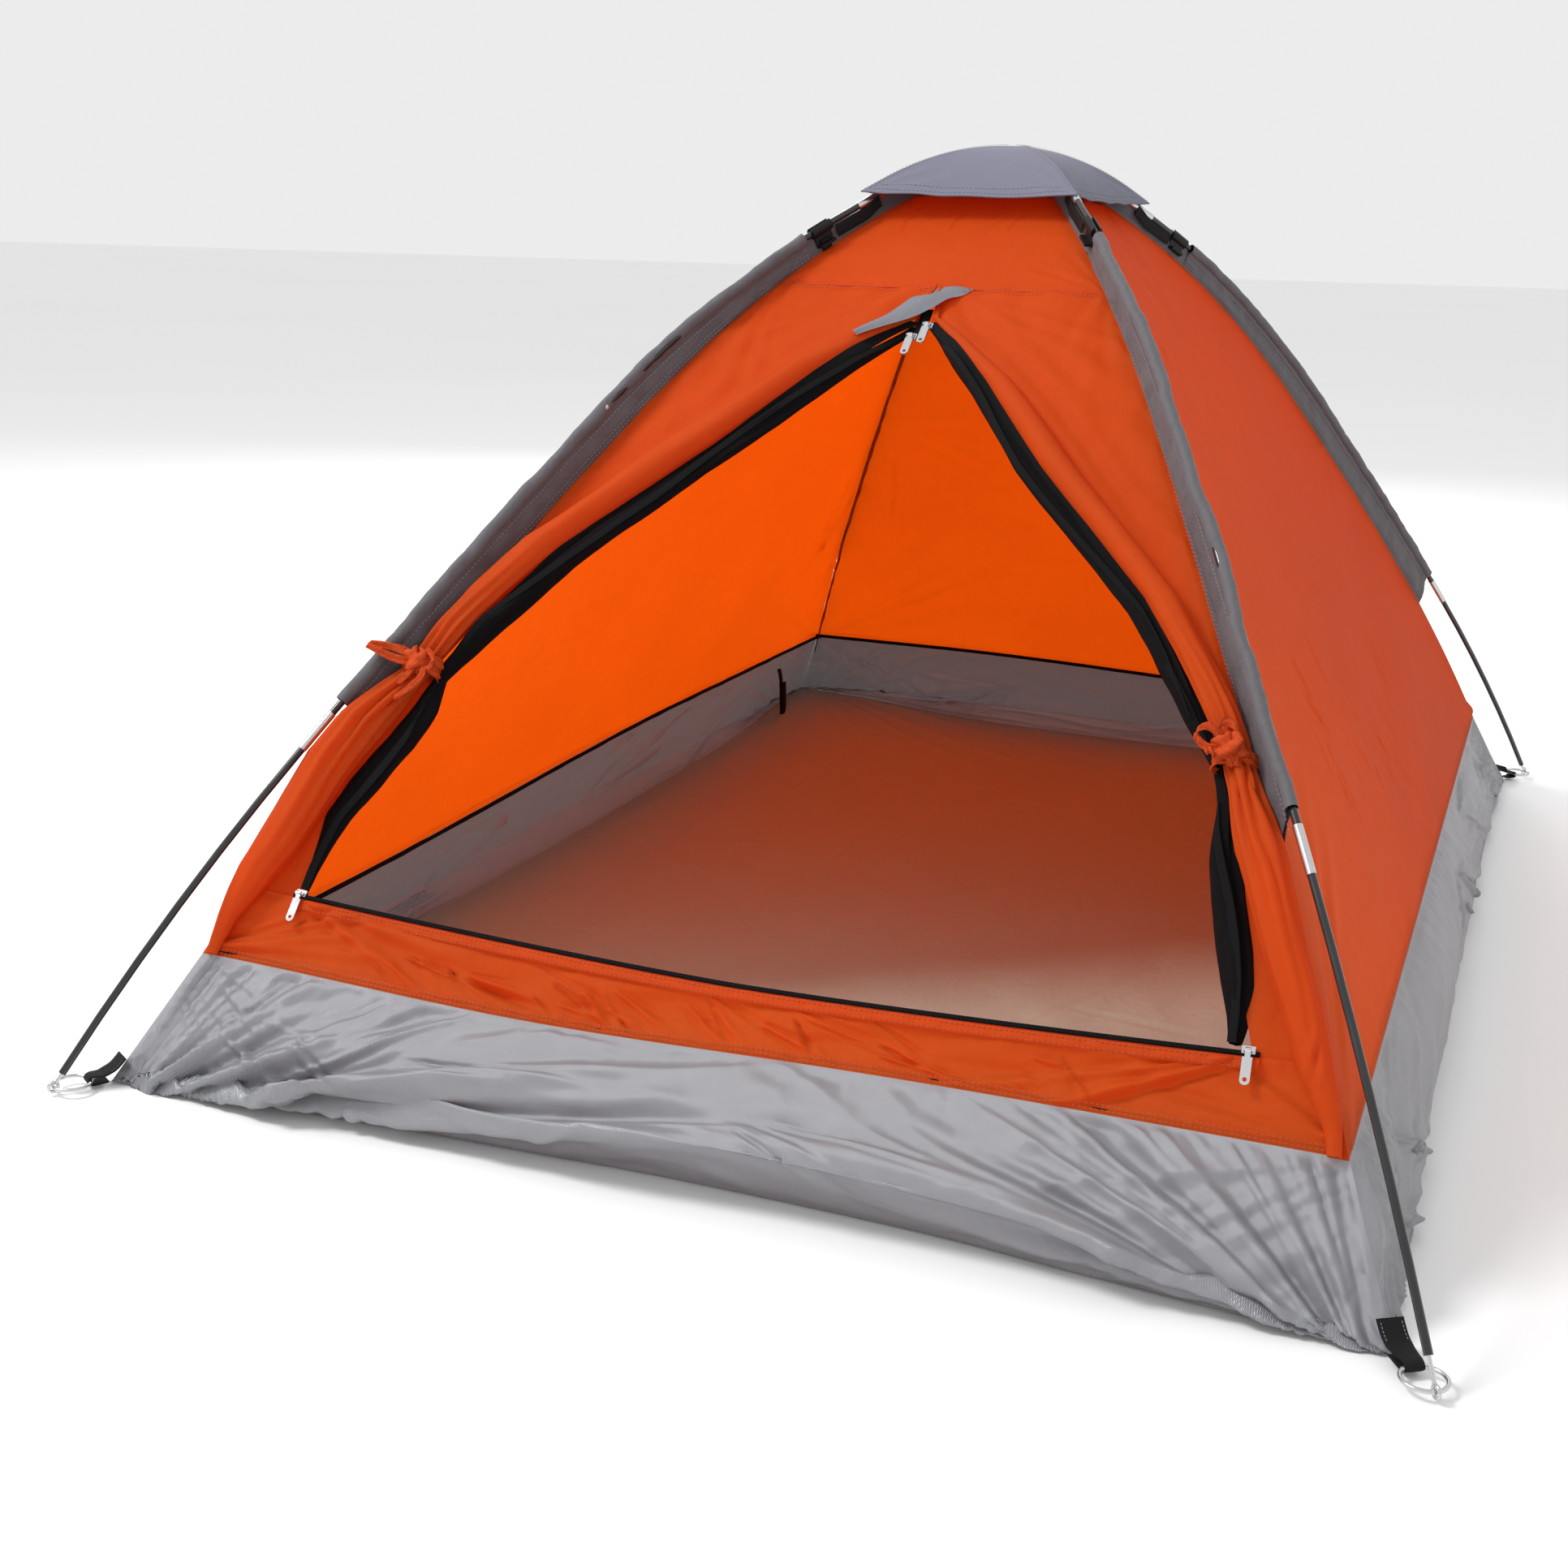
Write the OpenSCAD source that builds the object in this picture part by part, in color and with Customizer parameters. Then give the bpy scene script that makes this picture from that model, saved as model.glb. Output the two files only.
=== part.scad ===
// Two-person dome tent on two crossing poles, pitched, with its door rolled open.
// Origin: middle of the floor, on the ground. +Z up, the door faces -Y, +X to its right.

/* [Floor] */
// Width of the floor, along the door
floor_w = 1300; // [1200:10:1400]
// Depth of the floor, from the door to the back
floor_d = 2000; // [1900:10:2100]
// Height of the seam between the floor's raised edge and the canopy
tub_h = 126; // [100:1:150]

/* [Poles] */
// Outer diameter of a fibreglass rod
rod_d = 7.9; // [7:0.1:8.5]
// Bore of a rod, for the shock cord and the corner pin
rod_bore = 4.5; // [4.3:0.1:5]
// Diameter of the elastic shock cord
shock_d = 2.5; // [2:0.1:3]
// Length of a steel ferrule
ferrule_len = 50; // [40:1:60]
// Outer diameter of a steel ferrule
ferrule_d = 9.4; // [9.2:0.1:10]
// How far past the floor's corner a pole ends, along the diagonal
foot_gap = 49; // [45:1:55]

/* [Sleeves and clips] */
// Distance from a pole to the canopy's corner seam at the sleeve's lower end
sleeve_w = 40; // [36:1:48]
// The same distance at the cap's edge
sleeve_top_w = 22; // [20:1:30]
// Outer diameter of a sleeve's tunnel
tunnel_d = 16; // [15:0.5:18]
// Where a sleeve starts, along the pole from its top
sleeve_start = 345; // [330:5:370]
// Where a sleeve ends, along the pole from its top
sleeve_end = 1124; // [1050:1:1124]
// Where a pole clip sits, along the pole from its top
clip_at = 318; // [312:1:324]
// Length of a pole clip
clip_len = 30; // [24:1:34]

/* [Door] */
// Height of the top of the open doorway
apex_z = 785; // [760:1:800]
// Height of the fabric ties that hold the rolled door
tie_z = 425; // [400:1:450]
// Half width of the doorway at the ties
tie_x = 400; // [380:1:410]
// Height of the zip along the doorway's foot
sill_z = 190; // [180:1:200]
// Half width of the doorway at its foot
sill_x = 495; // [480:1:500]
// How much lower the zip hangs at the middle
sill_sag = 20; // [5:1:24]

/* [Cap] */
// Reach of the top cap along the diagonal
cap_r = 240; // [225:1:250]

/* [Fabric] */
// Thickness of the canopy, sleeves and cap as solids
cloth = 1.5; // [1:0.1:2]
// Thickness of the floor and its raised edge as solids
floor_t = 2; // [1.5:0.1:2.5]
// Gap between sewn panels
seam_gap = 3; // [2:0.5:5]

/* [Hidden] */
$fn = 48;

orange = "#d95f33";
grey = "#59565c";
black = "#1c1c1f";
silver = "#b4b4b8";
steel = "#c9c9cc";

// ---- The pole's line -----------------------------------------------------
// Half a pole, from its top down: rods that are arcs, with straight ferrules between.
turns = [24.7, 16.8, 3.2, 8];  // degrees that each rod bends, the first for half the middle rod
half_diag = norm([floor_w, floor_d]) / 2;
side_u = floor_w / 2 / half_diag;   // the diagonal's share along X
deep_u = floor_d / 2 / half_diag;   // and along Y
corner_a = atan2(floor_d, floor_w);
pole_step = ferrule_d;          // the second pole crosses this much above the first

function sum(v, n) = n <= 0 ? 0 : v[n - 1] + sum(v, n - 1);
function heading(i) = sum(turns, i);
function share(i) = i == 0 ? 0.5 : 1;
function rad(deg) = deg * PI / 180;
reach_per_arc = sum([for (i = [0:3]) share(i) * (sin(heading(i + 1)) - sin(heading(i))) / rad(turns[i])], 4);
drop_per_arc = sum([for (i = [0:3]) share(i) * (cos(heading(i)) - cos(heading(i + 1))) / rad(turns[i])], 4);
ferrule_reach = ferrule_len * sum([for (i = [1:3]) cos(heading(i))], 3);
ferrule_drop = ferrule_len * sum([for (i = [1:3]) sin(heading(i))], 3);
arc_len = (half_diag + foot_gap - ferrule_reach) / reach_per_arc;
foot_heading = heading(4);

// Corner ring and pin
ring_z = 9;
ring_major = 19;
ring_wire = 4;
eye_major = 5;
eye_wire = 3.5;
pin_d = 3.8;
pin_in = 34;                    // length of the pin inside the pole
pin_out = 16;                   // length between the pole's end and the ring, on the first pole
foot_z = ring_z + pin_out * sin(foot_heading);
crest_z = foot_z + arc_len * drop_per_arc + ferrule_drop;

// Segments in order: [length, turn]
segments = [
  [arc_len / 2, turns[0]], [ferrule_len, 0], [arc_len, turns[1]], [ferrule_len, 0],
  [arc_len, turns[2]], [ferrule_len, 0], [arc_len, turns[3]]
];
function seg_start(i) = sum([for (s = segments) s[0]], i);
half_len = seg_start(len(segments));

// One step along a segment: a state is [distance out, height, heading below level]
function step(p, length, turn) = turn == 0
  ? [p[0] + length * cos(p[2]), p[1] - length * sin(p[2]), p[2]]
  : let (r = length / rad(turn), h = p[2] + turn)
    [p[0] + r * (sin(h) - sin(p[2])), p[1] + r * (cos(h) - cos(p[2])), h];
function pole_at(s, i = 0, p = [0, crest_z, 0]) =
  i == len(segments) - 1 || s <= segments[i][0]
    ? step(p, s, segments[i][1] * s / segments[i][0])
    : pole_at(s - segments[i][0], i + 1, step(p, segments[i][0], segments[i][1]));

// The canopy's corner seam runs inside the pole: close to it under the cap, further in at the foot
s_vent = 225;                   // the walls end here, under the cap
insets = [
  [0, sleeve_top_w - 4], [s_vent, sleeve_top_w], [600, sleeve_top_w + 11],
  [sleeve_end, sleeve_w], [half_len, sleeve_w + 24]
];
function inset(s) = lookup(s, insets);
function seam_at(s) = let (p = pole_at(s))
  [p[0] - inset(s) * sin(p[2]), p[1] - inset(s) * cos(p[2]), p[2]];
function seam_s(z, lo = 0, hi = half_len, n = 24) = let (m = (lo + hi) / 2)
  n == 0 ? m : seam_at(m)[1] > z ? seam_s(z, m, hi, n - 1) : seam_s(z, lo, m, n - 1);

// ---- Corners -------------------------------------------------------------
// Order: front left, front right, back right, back left
corner_angles = [180 + corner_a, -corner_a, corner_a, 180 - corner_a];
corner_lifts = [0, pole_step, 0, pole_step];
pin_outs = [for (l = corner_lifts) pin_out + l / sin(foot_heading)];
function eye_at(i) = let (e = pole_at(half_len))
  [e[0] + pin_outs[i] * cos(foot_heading), ring_z];

module at_corner(i) {
  rotate([0, 0, corner_angles[i]]) children();
}

// Sweep a 2D profile along the pole from s0 to s1; the profile's +X points out of the bend.
// Each segment is a solid of its own, and two of them meet with a hair's gap.
hair = 0.04;
module along(s0, s1) {
  for (i = [0:len(segments) - 1]) {
    a = max(s0, seg_start(i) + hair);
    b = min(s1, seg_start(i + 1) - hair);
    $seam = inset(a);           // how far in the canopy's seam runs where the segment starts
    if (b - a > 1) along_segment(a, b, i) children();
  }
}

module along_segment(a, b, i) {
  turn = segments[i][1] * (b - a) / segments[i][0];
  p = pole_at(a);
  if (turn == 0) {
    translate([p[0], 0, p[1]]) rotate([0, 90 + p[2], 0]) rotate([0, 0, 180])
      linear_extrude(b - a) children();
  } else {
    r = (b - a) / rad(turn);
    translate([p[0] - r * sin(p[2]), 0, p[1] - r * cos(p[2])]) rotate([90, 0, 0])
      rotate([0, 0, 90 - p[2] - turn]) rotate_extrude(angle = turn, $fn = 96)
        translate([r, 0]) children();
  }
}

module ring_profile(outer, inner) {
  difference() {
    circle(d = outer, $fn = 32);
    circle(d = inner, $fn = 32);
  }
}

// ---- Poles ---------------------------------------------------------------
// The middle rod is one arc across the top; the others reach into their ferrules
module middle_rod() {
  r = arc_len / 2 / rad(turns[0]);
  stub = ferrule_len / 2 - 0.5;
  translate([0, 0, crest_z - r]) rotate([90, 0, 0]) rotate([0, 0, 90 - turns[0]])
    rotate_extrude(angle = 2 * turns[0], $fn = 96)
      translate([r, 0]) ring_profile(rod_d, rod_bore);
  for (side = [0, 180]) rotate([0, 0, side])
    along(seg_start(1), seg_start(1) + stub) ring_profile(rod_d, rod_bore);
}

module outer_rods() {
  stub = ferrule_len / 2 - 0.5;
  for (i = [2, 4, 6])
    along(seg_start(i) - stub, min(half_len, seg_start(i + 1) + stub))
      ring_profile(rod_d, rod_bore);
}

module ferrules() {
  for (i = [1, 3, 5])
    along(seg_start(i), seg_start(i + 1)) ring_profile(ferrule_d, rod_d + 0.06);
}

module shock_cord() {
  along(0, half_len - pin_in - 10) circle(d = shock_d, $fn = 24);
}

module pole_pair(first) {
  for (i = first ? [0, 2] : [1, 3])
    translate([0, 0, corner_lifts[i]]) at_corner(i) children();
}

module pole_rods(first) {
  color(black) {
    translate([0, 0, first ? 0 : pole_step]) rotate([0, 0, first ? corner_a : -corner_a])
      middle_rod();
    pole_pair(first) outer_rods();
  }
}

module pole_ferrules(first) {
  color(steel) pole_pair(first) ferrules();
}

module pole_shock_cord(first) {
  color("white") pole_pair(first) shock_cord();
}

// ---- Corner hardware -----------------------------------------------------
module corner_pins() {
  color(steel) for (i = [0:3]) at_corner(i) {
    e = eye_at(i);
    translate([e[0], 0, e[1]]) {
      rotate([90, 0, 0]) rotate_extrude() translate([eye_major, 0]) circle(d = eye_wire, $fn = 24);
      rotate([0, foot_heading - 90, 0]) translate([0, 0, eye_major])
        cylinder(d = pin_d, h = pin_outs[i] - eye_major + pin_in);
    }
  }
}

module corner_rings() {
  color(steel) for (i = [0:3]) at_corner(i) {
    e = eye_at(i);
    translate([e[0] - ring_major, 0, ring_z]) rotate_extrude()
      translate([ring_major, 0]) circle(d = ring_wire, $fn = 24);
  }
}

// Webbing strap: sewn to the floor's corner and looped round the ring
strap_w = 18;
strap_t = 1.5;
module strap(i) {
  loop_in = 3;                  // inner radius of the loop
  loop_run = 3;                 // the loop is this much longer than it is high
  e = eye_at(i);
  loop_r = e[0] - 2 * ring_major;
  loop_out = loop_in + strap_t;
  tail = loop_r - half_diag - 1.5;
  color(black) at_corner(i) translate([loop_r, strap_w / 2, ring_z]) rotate([90, 0, 0])
    linear_extrude(strap_w) {
      difference() {
        union() {
          circle(r = loop_out);
          translate([loop_run, 0]) circle(r = loop_out);
          translate([0, -loop_out]) square([loop_run, 2 * loop_out]);
        }
        circle(r = loop_in);
        translate([loop_run, 0]) circle(r = loop_in);
        translate([0, -loop_in]) square([loop_run, 2 * loop_in]);
      }
      rotate(8) translate([-tail, -strap_t]) square([tail - loop_in - 0.5, 2 * strap_t]);
    }
}

// ---- Sleeves and clips ---------------------------------------------------
module sleeve(i) {
  color(grey) translate([0, 0, corner_lifts[i]]) at_corner(i)
    along(sleeve_start, sleeve_end) {
      ring_profile(tunnel_d, tunnel_d - 2 * cloth);
      translate([2 - $seam, -cloth / 2]) square([$seam - 2 - tunnel_d / 2 + cloth / 2, cloth]);
    }
}

module clip(i) {
  wall = 2.6;
  bore = rod_d + 0.5;
  leg = inset(clip_at) - 6;
  p = pole_at(clip_at);
  color(black) translate([0, 0, corner_lifts[i]]) at_corner(i)
    translate([p[0], 0, p[1]]) rotate([0, p[2], 0]) rotate([0, 90, 0])
      translate([0, 0, -clip_len / 2]) {
        difference() {
          union() {
            cylinder(d = bore + 2 * wall, h = clip_len);
            translate([bore / 2 + 0.5, -2, 2]) cube([leg - bore / 2, 4, clip_len - 4]);
            translate([leg - 3, -9, 4]) cube([3.5, 18, clip_len - 8]);
          }
          translate([0, 0, -1]) cylinder(d = bore, h = clip_len + 2);
          translate([-bore, -2.6, -1]) cube([bore, 5.2, clip_len + 2]);
        }
      }
}

// ---- Fabric as thin solids -----------------------------------------------
function flat(rows) = [for (row = rows) each row];

// A closed sheet between two grids of points, outer and inner
module slab(outer, inner) {
  m = len(outer);
  n = len(outer[0]);
  k = m * n;
  function at(i, j) = i * n + j;
  faces = concat(
    [for (i = [0:m - 2], j = [0:n - 2]) [at(i, j), at(i, j + 1), at(i + 1, j + 1), at(i + 1, j)]],
    [for (i = [0:m - 2], j = [0:n - 2])
      [k + at(i, j), k + at(i + 1, j), k + at(i + 1, j + 1), k + at(i, j + 1)]],
    [for (i = [0:m - 2]) [at(i, 0), at(i + 1, 0), k + at(i + 1, 0), k + at(i, 0)]],
    [for (i = [0:m - 2])
      [at(i + 1, n - 1), at(i, n - 1), k + at(i, n - 1), k + at(i + 1, n - 1)]],
    [for (j = [0:n - 2]) [at(0, j + 1), at(0, j), k + at(0, j), k + at(0, j + 1)]],
    [for (j = [0:n - 2])
      [at(m - 1, j), at(m - 1, j + 1), k + at(m - 1, j + 1), k + at(m - 1, j)]]
  );
  polyhedron(points = concat(flat(outer), flat(inner)), faces = faces, convexity = 6);
}

// A point on a wall whose outward side faces -Y: s down the corner seam, lifted off the wall
function tilt(s, out_u) = let (h = seam_at(s)[2]) atan2(sin(h), out_u * cos(h));
function wall_point(x, s, lift, out_u) = let (p = seam_at(s), a = tilt(s, out_u))
  [x, -out_u * p[0] - lift * sin(a), p[1] + lift * cos(a)];

// A wall between x limits that are given for each height
module wall(ss, lefts, rights, out_u) {
  slab(
    [for (i = [0:len(ss) - 1])
      [for (x = [lefts[i], rights[i]]) wall_point(x, ss[i], 0, out_u)]],
    [for (i = [0:len(ss) - 1])
      [for (x = [lefts[i], rights[i]]) wall_point(x, ss[i], -cloth, out_u)]]
  );
}

function spread(a, b, n) = [for (k = [0:n]) a + (b - a) * k / n];
s_foot = seam_s(tub_h);
function half_w(s, across_u) = across_u * seam_at(s)[0] - seam_gap;

module plain_wall(out_u, across_u) {
  ss = spread(s_vent, s_foot, 16);
  wall(ss, [for (s = ss) -half_w(s, across_u)], [for (s = ss) half_w(s, across_u)], out_u);
}

// The doorway's edge: half its width at a height
function doorway(z) = lookup(z, [[sill_z, sill_x], [tie_z, tie_x], [apex_z, 0]]);

module front_panel(side) {
  behind_roll = 30;             // the panel's edge lies this far behind the doorway's edge
  ss = spread(seam_s(apex_z - 5), seam_s(sill_z), 12);
  outer_x = [for (s = ss) half_w(s, side_u)];
  inner_x = [for (i = [0:12]) min(doorway(seam_at(ss[i])[1]) + behind_roll, outer_x[i] - 6)];
  color(orange)
    if (side < 0) wall(ss, [for (x = outer_x) -x], [for (x = inner_x) -x], deep_u);
    else wall(ss, inner_x, outer_x, deep_u);
}

module front_yoke() {
  ss = spread(s_vent, seam_s(apex_z), 5);
  xs = [for (s = ss) half_w(s, side_u)];
  color(orange) wall(ss, [for (x = xs) -x], xs, deep_u);
}

// The panel under the zip; its upper edge sags to the middle, as the zip does
module door_sill() {
  top = seam_s(sill_z - 3);
  x_top = half_w(top, side_u);
  x_foot = half_w(s_foot, side_u);
  function share(x) = sill_sag * (1 - abs(x) / sill_x) / (s_foot - top);
  function row(upper, lift) = [for (k = [-1, 0, 1]) let (v = upper ? share(k * x_top) : 1)
    wall_point(k * (x_top + (x_foot - x_top) * v), top, lift, deep_u) * (1 - v)
      + wall_point(k * (x_top + (x_foot - x_top) * v), s_foot, lift, deep_u) * v];
  color(orange) slab([row(true, 0), row(false, 0)], [row(true, -cloth), row(false, -cloth)]);
}

// One side of the floor's raised edge, sloping from the ground up to the canopy
module tub_side(out_half, across_half, out_u, across_u) {
  top = seam_at(s_foot);
  top_out = out_u * top[0] - 1;
  top_across = across_u * top[0] - seam_gap;
  foot_across = across_half - seam_gap;
  outer = [
    [[-foot_across, -out_half, 0], [foot_across, -out_half, 0]],
    [[-top_across, -top_out, tub_h - 3], [top_across, -top_out, tub_h - 3]]
  ];
  inner = [for (row = outer) [for (p = row) p + [0, floor_t + 0.4, 0]]];
  color(silver) slab(inner, outer);
}

module floor_sheet() {
  edge = 4;
  color(silver) translate([-floor_w / 2 + edge, -floor_d / 2 + edge, 0])
    cube([floor_w - 2 * edge, floor_d - 2 * edge, floor_t]);
}

// A closed dome of rectangles: out is a list of [distance along the diagonal, height]
module dome(out, thick) {
  signs = [[-1, -1], [0, -1], [1, -1], [1, 0], [1, 1], [0, 1], [-1, 1], [-1, 0]];
  n = len(out);
  m = len(signs);
  function ring(p, dz) = [for (c = signs) [c[0] * side_u * p[0], c[1] * deep_u * p[0], p[1] - dz]];
  top = concat([[0, 0, out[0][1]]], flat([for (i = [1:n - 1]) ring(out[i], 0)]));
  low = concat([[0, 0, out[0][1] - thick]], flat([for (i = [1:n - 1]) ring(out[i], thick)]));
  k = len(top);
  function id(i, j) = 1 + (i - 1) * m + (j % m);
  faces = concat(
    [for (j = [0:m - 1]) [0, id(1, j + 1), id(1, j)]],
    [for (j = [0:m - 1]) [k, k + id(1, j), k + id(1, j + 1)]],
    [for (i = [1:n - 2], j = [0:m - 1]) [id(i, j), id(i, j + 1), id(i + 1, j + 1), id(i + 1, j)]],
    [for (i = [1:n - 2], j = [0:m - 1])
      [k + id(i, j), k + id(i + 1, j), k + id(i + 1, j + 1), k + id(i, j + 1)]],
    [for (j = [0:m - 1]) [id(n - 1, j), id(n - 1, j + 1), k + id(n - 1, j + 1), k + id(n - 1, j)]]
  );
  polyhedron(points = concat(top, low), faces = faces, convexity = 4);
}

module roof_mesh() {
  color(black)
    dome([for (s = spread(0, s_vent - 4, 6)) let (p = seam_at(s)) [p[0], p[1]]], cloth);
}

// The cap lies just over the upper pole
cap_clear = 1.6;
cap_s = cap_r / cos(heading(1) / 2);
module cap() {
  lift = pole_step + rod_d / 2 + cap_clear;
  color("#8f909d")
    dome([for (s = spread(0, cap_s, 8)) let (p = pole_at(s))
      [p[0] + lift * sin(p[2]), p[1] + lift * cos(p[2]) + cloth]], cloth);
}

// Elastic tapes from the cap's corners down to the clips, lying on the poles
module cap_tapes() {
  start = cap_s + 7;            // just past the cap's corner
  end = clip_at - clip_len / 2 - 3;
  rise = ferrule_d / 2 + 0.5;
  color(black) for (i = [0:3])
    translate([0, 0, corner_lifts[i]]) at_corner(i)
      along(start, end) translate([rise, -7]) square([1.2, 14]);
}

// ---- Rolled door ---------------------------------------------------------
function unit(v) = v / norm(v);

// A tube swept through points, each ring square to the route
module tube(points, radii, sides) {
  n = len(points);
  function dir(i) = unit(points[min(i + 1, n - 1)] - points[max(i - 1, 0)]);
  function u(i) = unit(cross(dir(i), [0, 1, 0]));
  rings = [for (i = [0:n - 1]) let (a = u(i), b = cross(dir(i), a)) [for (j = [0:sides - 1])
    let (t = 360 * j / sides) points[i] + radii[i] * (a * cos(t) + b * sin(t))]];
  faces = concat(
    [[for (j = [0:sides - 1]) j]],
    [[for (j = [sides - 1:-1:0]) (n - 1) * sides + j]],
    [for (i = [0:n - 2], j = [0:sides - 1]) let (a = i * sides + j, b = i * sides + (j + 1) % sides)
      [b, a, a + sides, b + sides]]
  );
  polyhedron(points = flat(rings), faces = faces, convexity = 4);
}

// Routes on the front wall: [distance past the doorway's edge, height, radius]
door_roll = [
  [34, 748, 8], [35, 720, 11], [36, 680, 13], [37, 630, 15], [38, 580, 16], [38, 530, 16],
  [32, 480, 14], [26, 446, 12], [24, 425, 11], [26, 404, 12], [28, 370, 16], [31, 330, 20],
  [33, 290, 22], [32, 250, 22], [30, 214, 18]
];
mesh_roll = [
  [11, 752, 5], [12, 700, 8], [12, 640, 9], [12, 580, 9], [12, 520, 9], [11, 470, 8],
  [8, 436, 7], [8, 400, 8], [10, 350, 10], [10, 300, 10], [8, 250, 8], [3, 210, 5]
];
function route_point(side, past, z, lift) =
  wall_point(side * (doorway(z) + past), seam_s(z), lift, deep_u);

module front_roll(side, route, proud) {
  tube([for (p = route) route_point(side, p[0], p[1], proud ? p[2] + 4 : 1)],
    [for (p = route) p[2]], 12);
}

module door_tie(side) {
  band = 13;
  r = 11.6;
  up = route_point(side, 26, tie_z + 21, 16);
  down = route_point(side, 26, tie_z - 21, 16);
  way = unit(up - down);
  color(orange) translate(route_point(side, 24, tie_z, 15))
    rotate([0, acos(way[2]), atan2(way[1], way[0])]) difference() {
      cylinder(r = r + 2.5, h = band, center = true);
      cylinder(r = r + 0.4, h = band + 2, center = true);
    }
}

// Grey flap over the end of the door's zip
flap_lift = 10.4;               // it lies over the sliders
flap_t = 0.8;
flap_rows = [[815, -6, 32], [800, -16, 18], [785, -30, 4], [768, -48, -20]];  // height, x, x
module zip_flap() {
  function face(lift) =
    [for (r = flap_rows) [for (x = [r[1], r[2]]) wall_point(x, seam_s(r[0]), lift, deep_u)]];
  color("#77767c") slab(face(flap_lift), face(flap_lift - flap_t));
}

// Small webbing loop that hangs inside, by the back left corner
module inner_loop() {
  color(black) translate([-floor_w / 2 + 62, floor_d / 2 - 275, 40])
    cube([1.5, 12, 80]);
}

// ---- Zips ----------------------------------------------------------------
// Local axes on the front wall: X across, Y up the wall, Z out of it
module on_front(x, s) {
  translate(wall_point(x, s, 0, deep_u)) rotate([tilt(s, deep_u), 0, 0]) children();
}

chain_y = 3;                    // the chain starts this far above the sill panel's edge
chain_w = 3;
chain_z = -0.5;
chain_t = 2.4;
s_sill = seam_s(sill_z - 3);

// Each half of the zip runs down to the middle; local X follows it
sag_angle = atan(sill_sag / sill_x);
module on_sill(side) {
  on_front(side * sill_x, s_sill) rotate([0, 0, side * sag_angle]) children();
}

module sill_zip() {
  tape_w = 11;
  past_end = 12;
  run = past_end + sill_x / cos(sag_angle);
  color(black) for (side = [-1, 1]) on_sill(side)
    translate([side < 0 ? -past_end : past_end - run, 0]) {
      translate([0, chain_y - tape_w, 0.4]) cube([run, tape_w, 0.8]);
      translate([0, chain_y, chain_z]) cube([run, chain_w, chain_t]);
    }
}

slider_len = 12;
bar_z = 6.6;                    // height of the bar that the pull hangs on
bar_d = 1.8;
module slider_bridge() {
  for (x = [-slider_len / 2 + 1, slider_len / 2 - 2.4])
    translate([x, 2.5, 3.5]) cube([1.4, 3, bar_z - 3.5 + bar_d / 2]);
  translate([-slider_len / 2 + 1, 4, bar_z]) rotate([0, 90, 0])
    cylinder(d = bar_d, h = slider_len - 2, $fn = 24);
}

module sill_slider(side) {
  color(steel) on_sill(side) {
    translate([-slider_len / 2, 1.5, 2.2]) cube([slider_len, 7, 1.5]);
    translate([-slider_len / 2, 1.5, -2.3]) cube([slider_len, 7, 1.5]);
    translate([-slider_len / 2, 6.4, -2.3]) cube([slider_len, 2.1, 6]);
    slider_bridge();
  }
}

// A pull tab hanging from its bar, down the wall
pull_len = 32;
module pull_tab() {
  eye = 1.4;
  plate_w = 9;
  color(steel) translate([0, 4, bar_z]) {
    difference() {
      union() {
        rotate([0, 90, 0]) cylinder(r = eye + 1.1, h = 5, center = true, $fn = 32);
        translate([-2.5, -8, -0.9]) cube([5, 7, 1.8]);
      }
      rotate([0, 90, 0]) cylinder(r = eye, h = 8, center = true, $fn = 32);
    }
    translate([0, 0, -0.9]) linear_extrude(1.8) difference() {
      union() {
        translate([-plate_w / 2, -pull_len + plate_w / 2]) square([plate_w, pull_len - 11]);
        translate([0, -pull_len + plate_w / 2]) circle(d = plate_w);
      }
      translate([0, -pull_len + plate_w / 2 + 0.5]) circle(d = 4);
    }
  }
}

module sill_pull(side) {
  on_sill(side) pull_tab();
}

// Sliders at the top of the door: the door's own, and the mesh door's behind it
door_slider_x = [7, -7];
door_slider_z = [776, 764];
module top_slider(k) {
  color(steel) on_front(door_slider_x[k], seam_s(door_slider_z[k])) {
    translate([-slider_len / 2, 0, 2]) cube([slider_len, 9, 1.5]);
    slider_bridge();
  }
}

module top_pull(k) {
  on_front(door_slider_x[k], seam_s(door_slider_z[k])) pull_tab();
}

zip_end_below = 22;             // the zip's end reaches this far below the doorway's top
module door_zip_end() {
  nearer = atan((inset(600) - inset(s_vent)) / (600 - s_vent)); // the wall nears the pole upwards
  color(black) on_front(0, seam_s(apex_z - zip_end_below)) rotate([nearer, 0, 0])
    translate([-5, 0, 0.1]) cube([10, 52, 1]);
}

// ---- The parts -----------------------------------------------------------
pole_rods(true);  // pole_1_rods
pole_ferrules(true);  // pole_1_ferrules
pole_shock_cord(true);  // pole_1_shock_cord
pole_rods(false);  // pole_2_rods
pole_ferrules(false);  // pole_2_ferrules
pole_shock_cord(false);  // pole_2_shock_cord
corner_pins();
corner_rings();
strap(0);  // strap_front_left
strap(1);  // strap_front_right
strap(2);  // strap_back_right
strap(3);  // strap_back_left
sleeve(0);  // sleeve_front_left
sleeve(1);  // sleeve_front_right
sleeve(2);  // sleeve_back_right
sleeve(3);  // sleeve_back_left
clip(0);  // clip_front_left
clip(1);  // clip_front_right
clip(2);  // clip_back_right
clip(3);  // clip_back_left
floor_sheet();  // floor
tub_side(floor_d / 2, floor_w / 2, deep_u, side_u);  // tub_front
rotate([0, 0, 90]) tub_side(floor_w / 2, floor_d / 2, side_u, deep_u);  // tub_right
rotate([0, 0, 180]) tub_side(floor_d / 2, floor_w / 2, deep_u, side_u);  // tub_back
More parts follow.
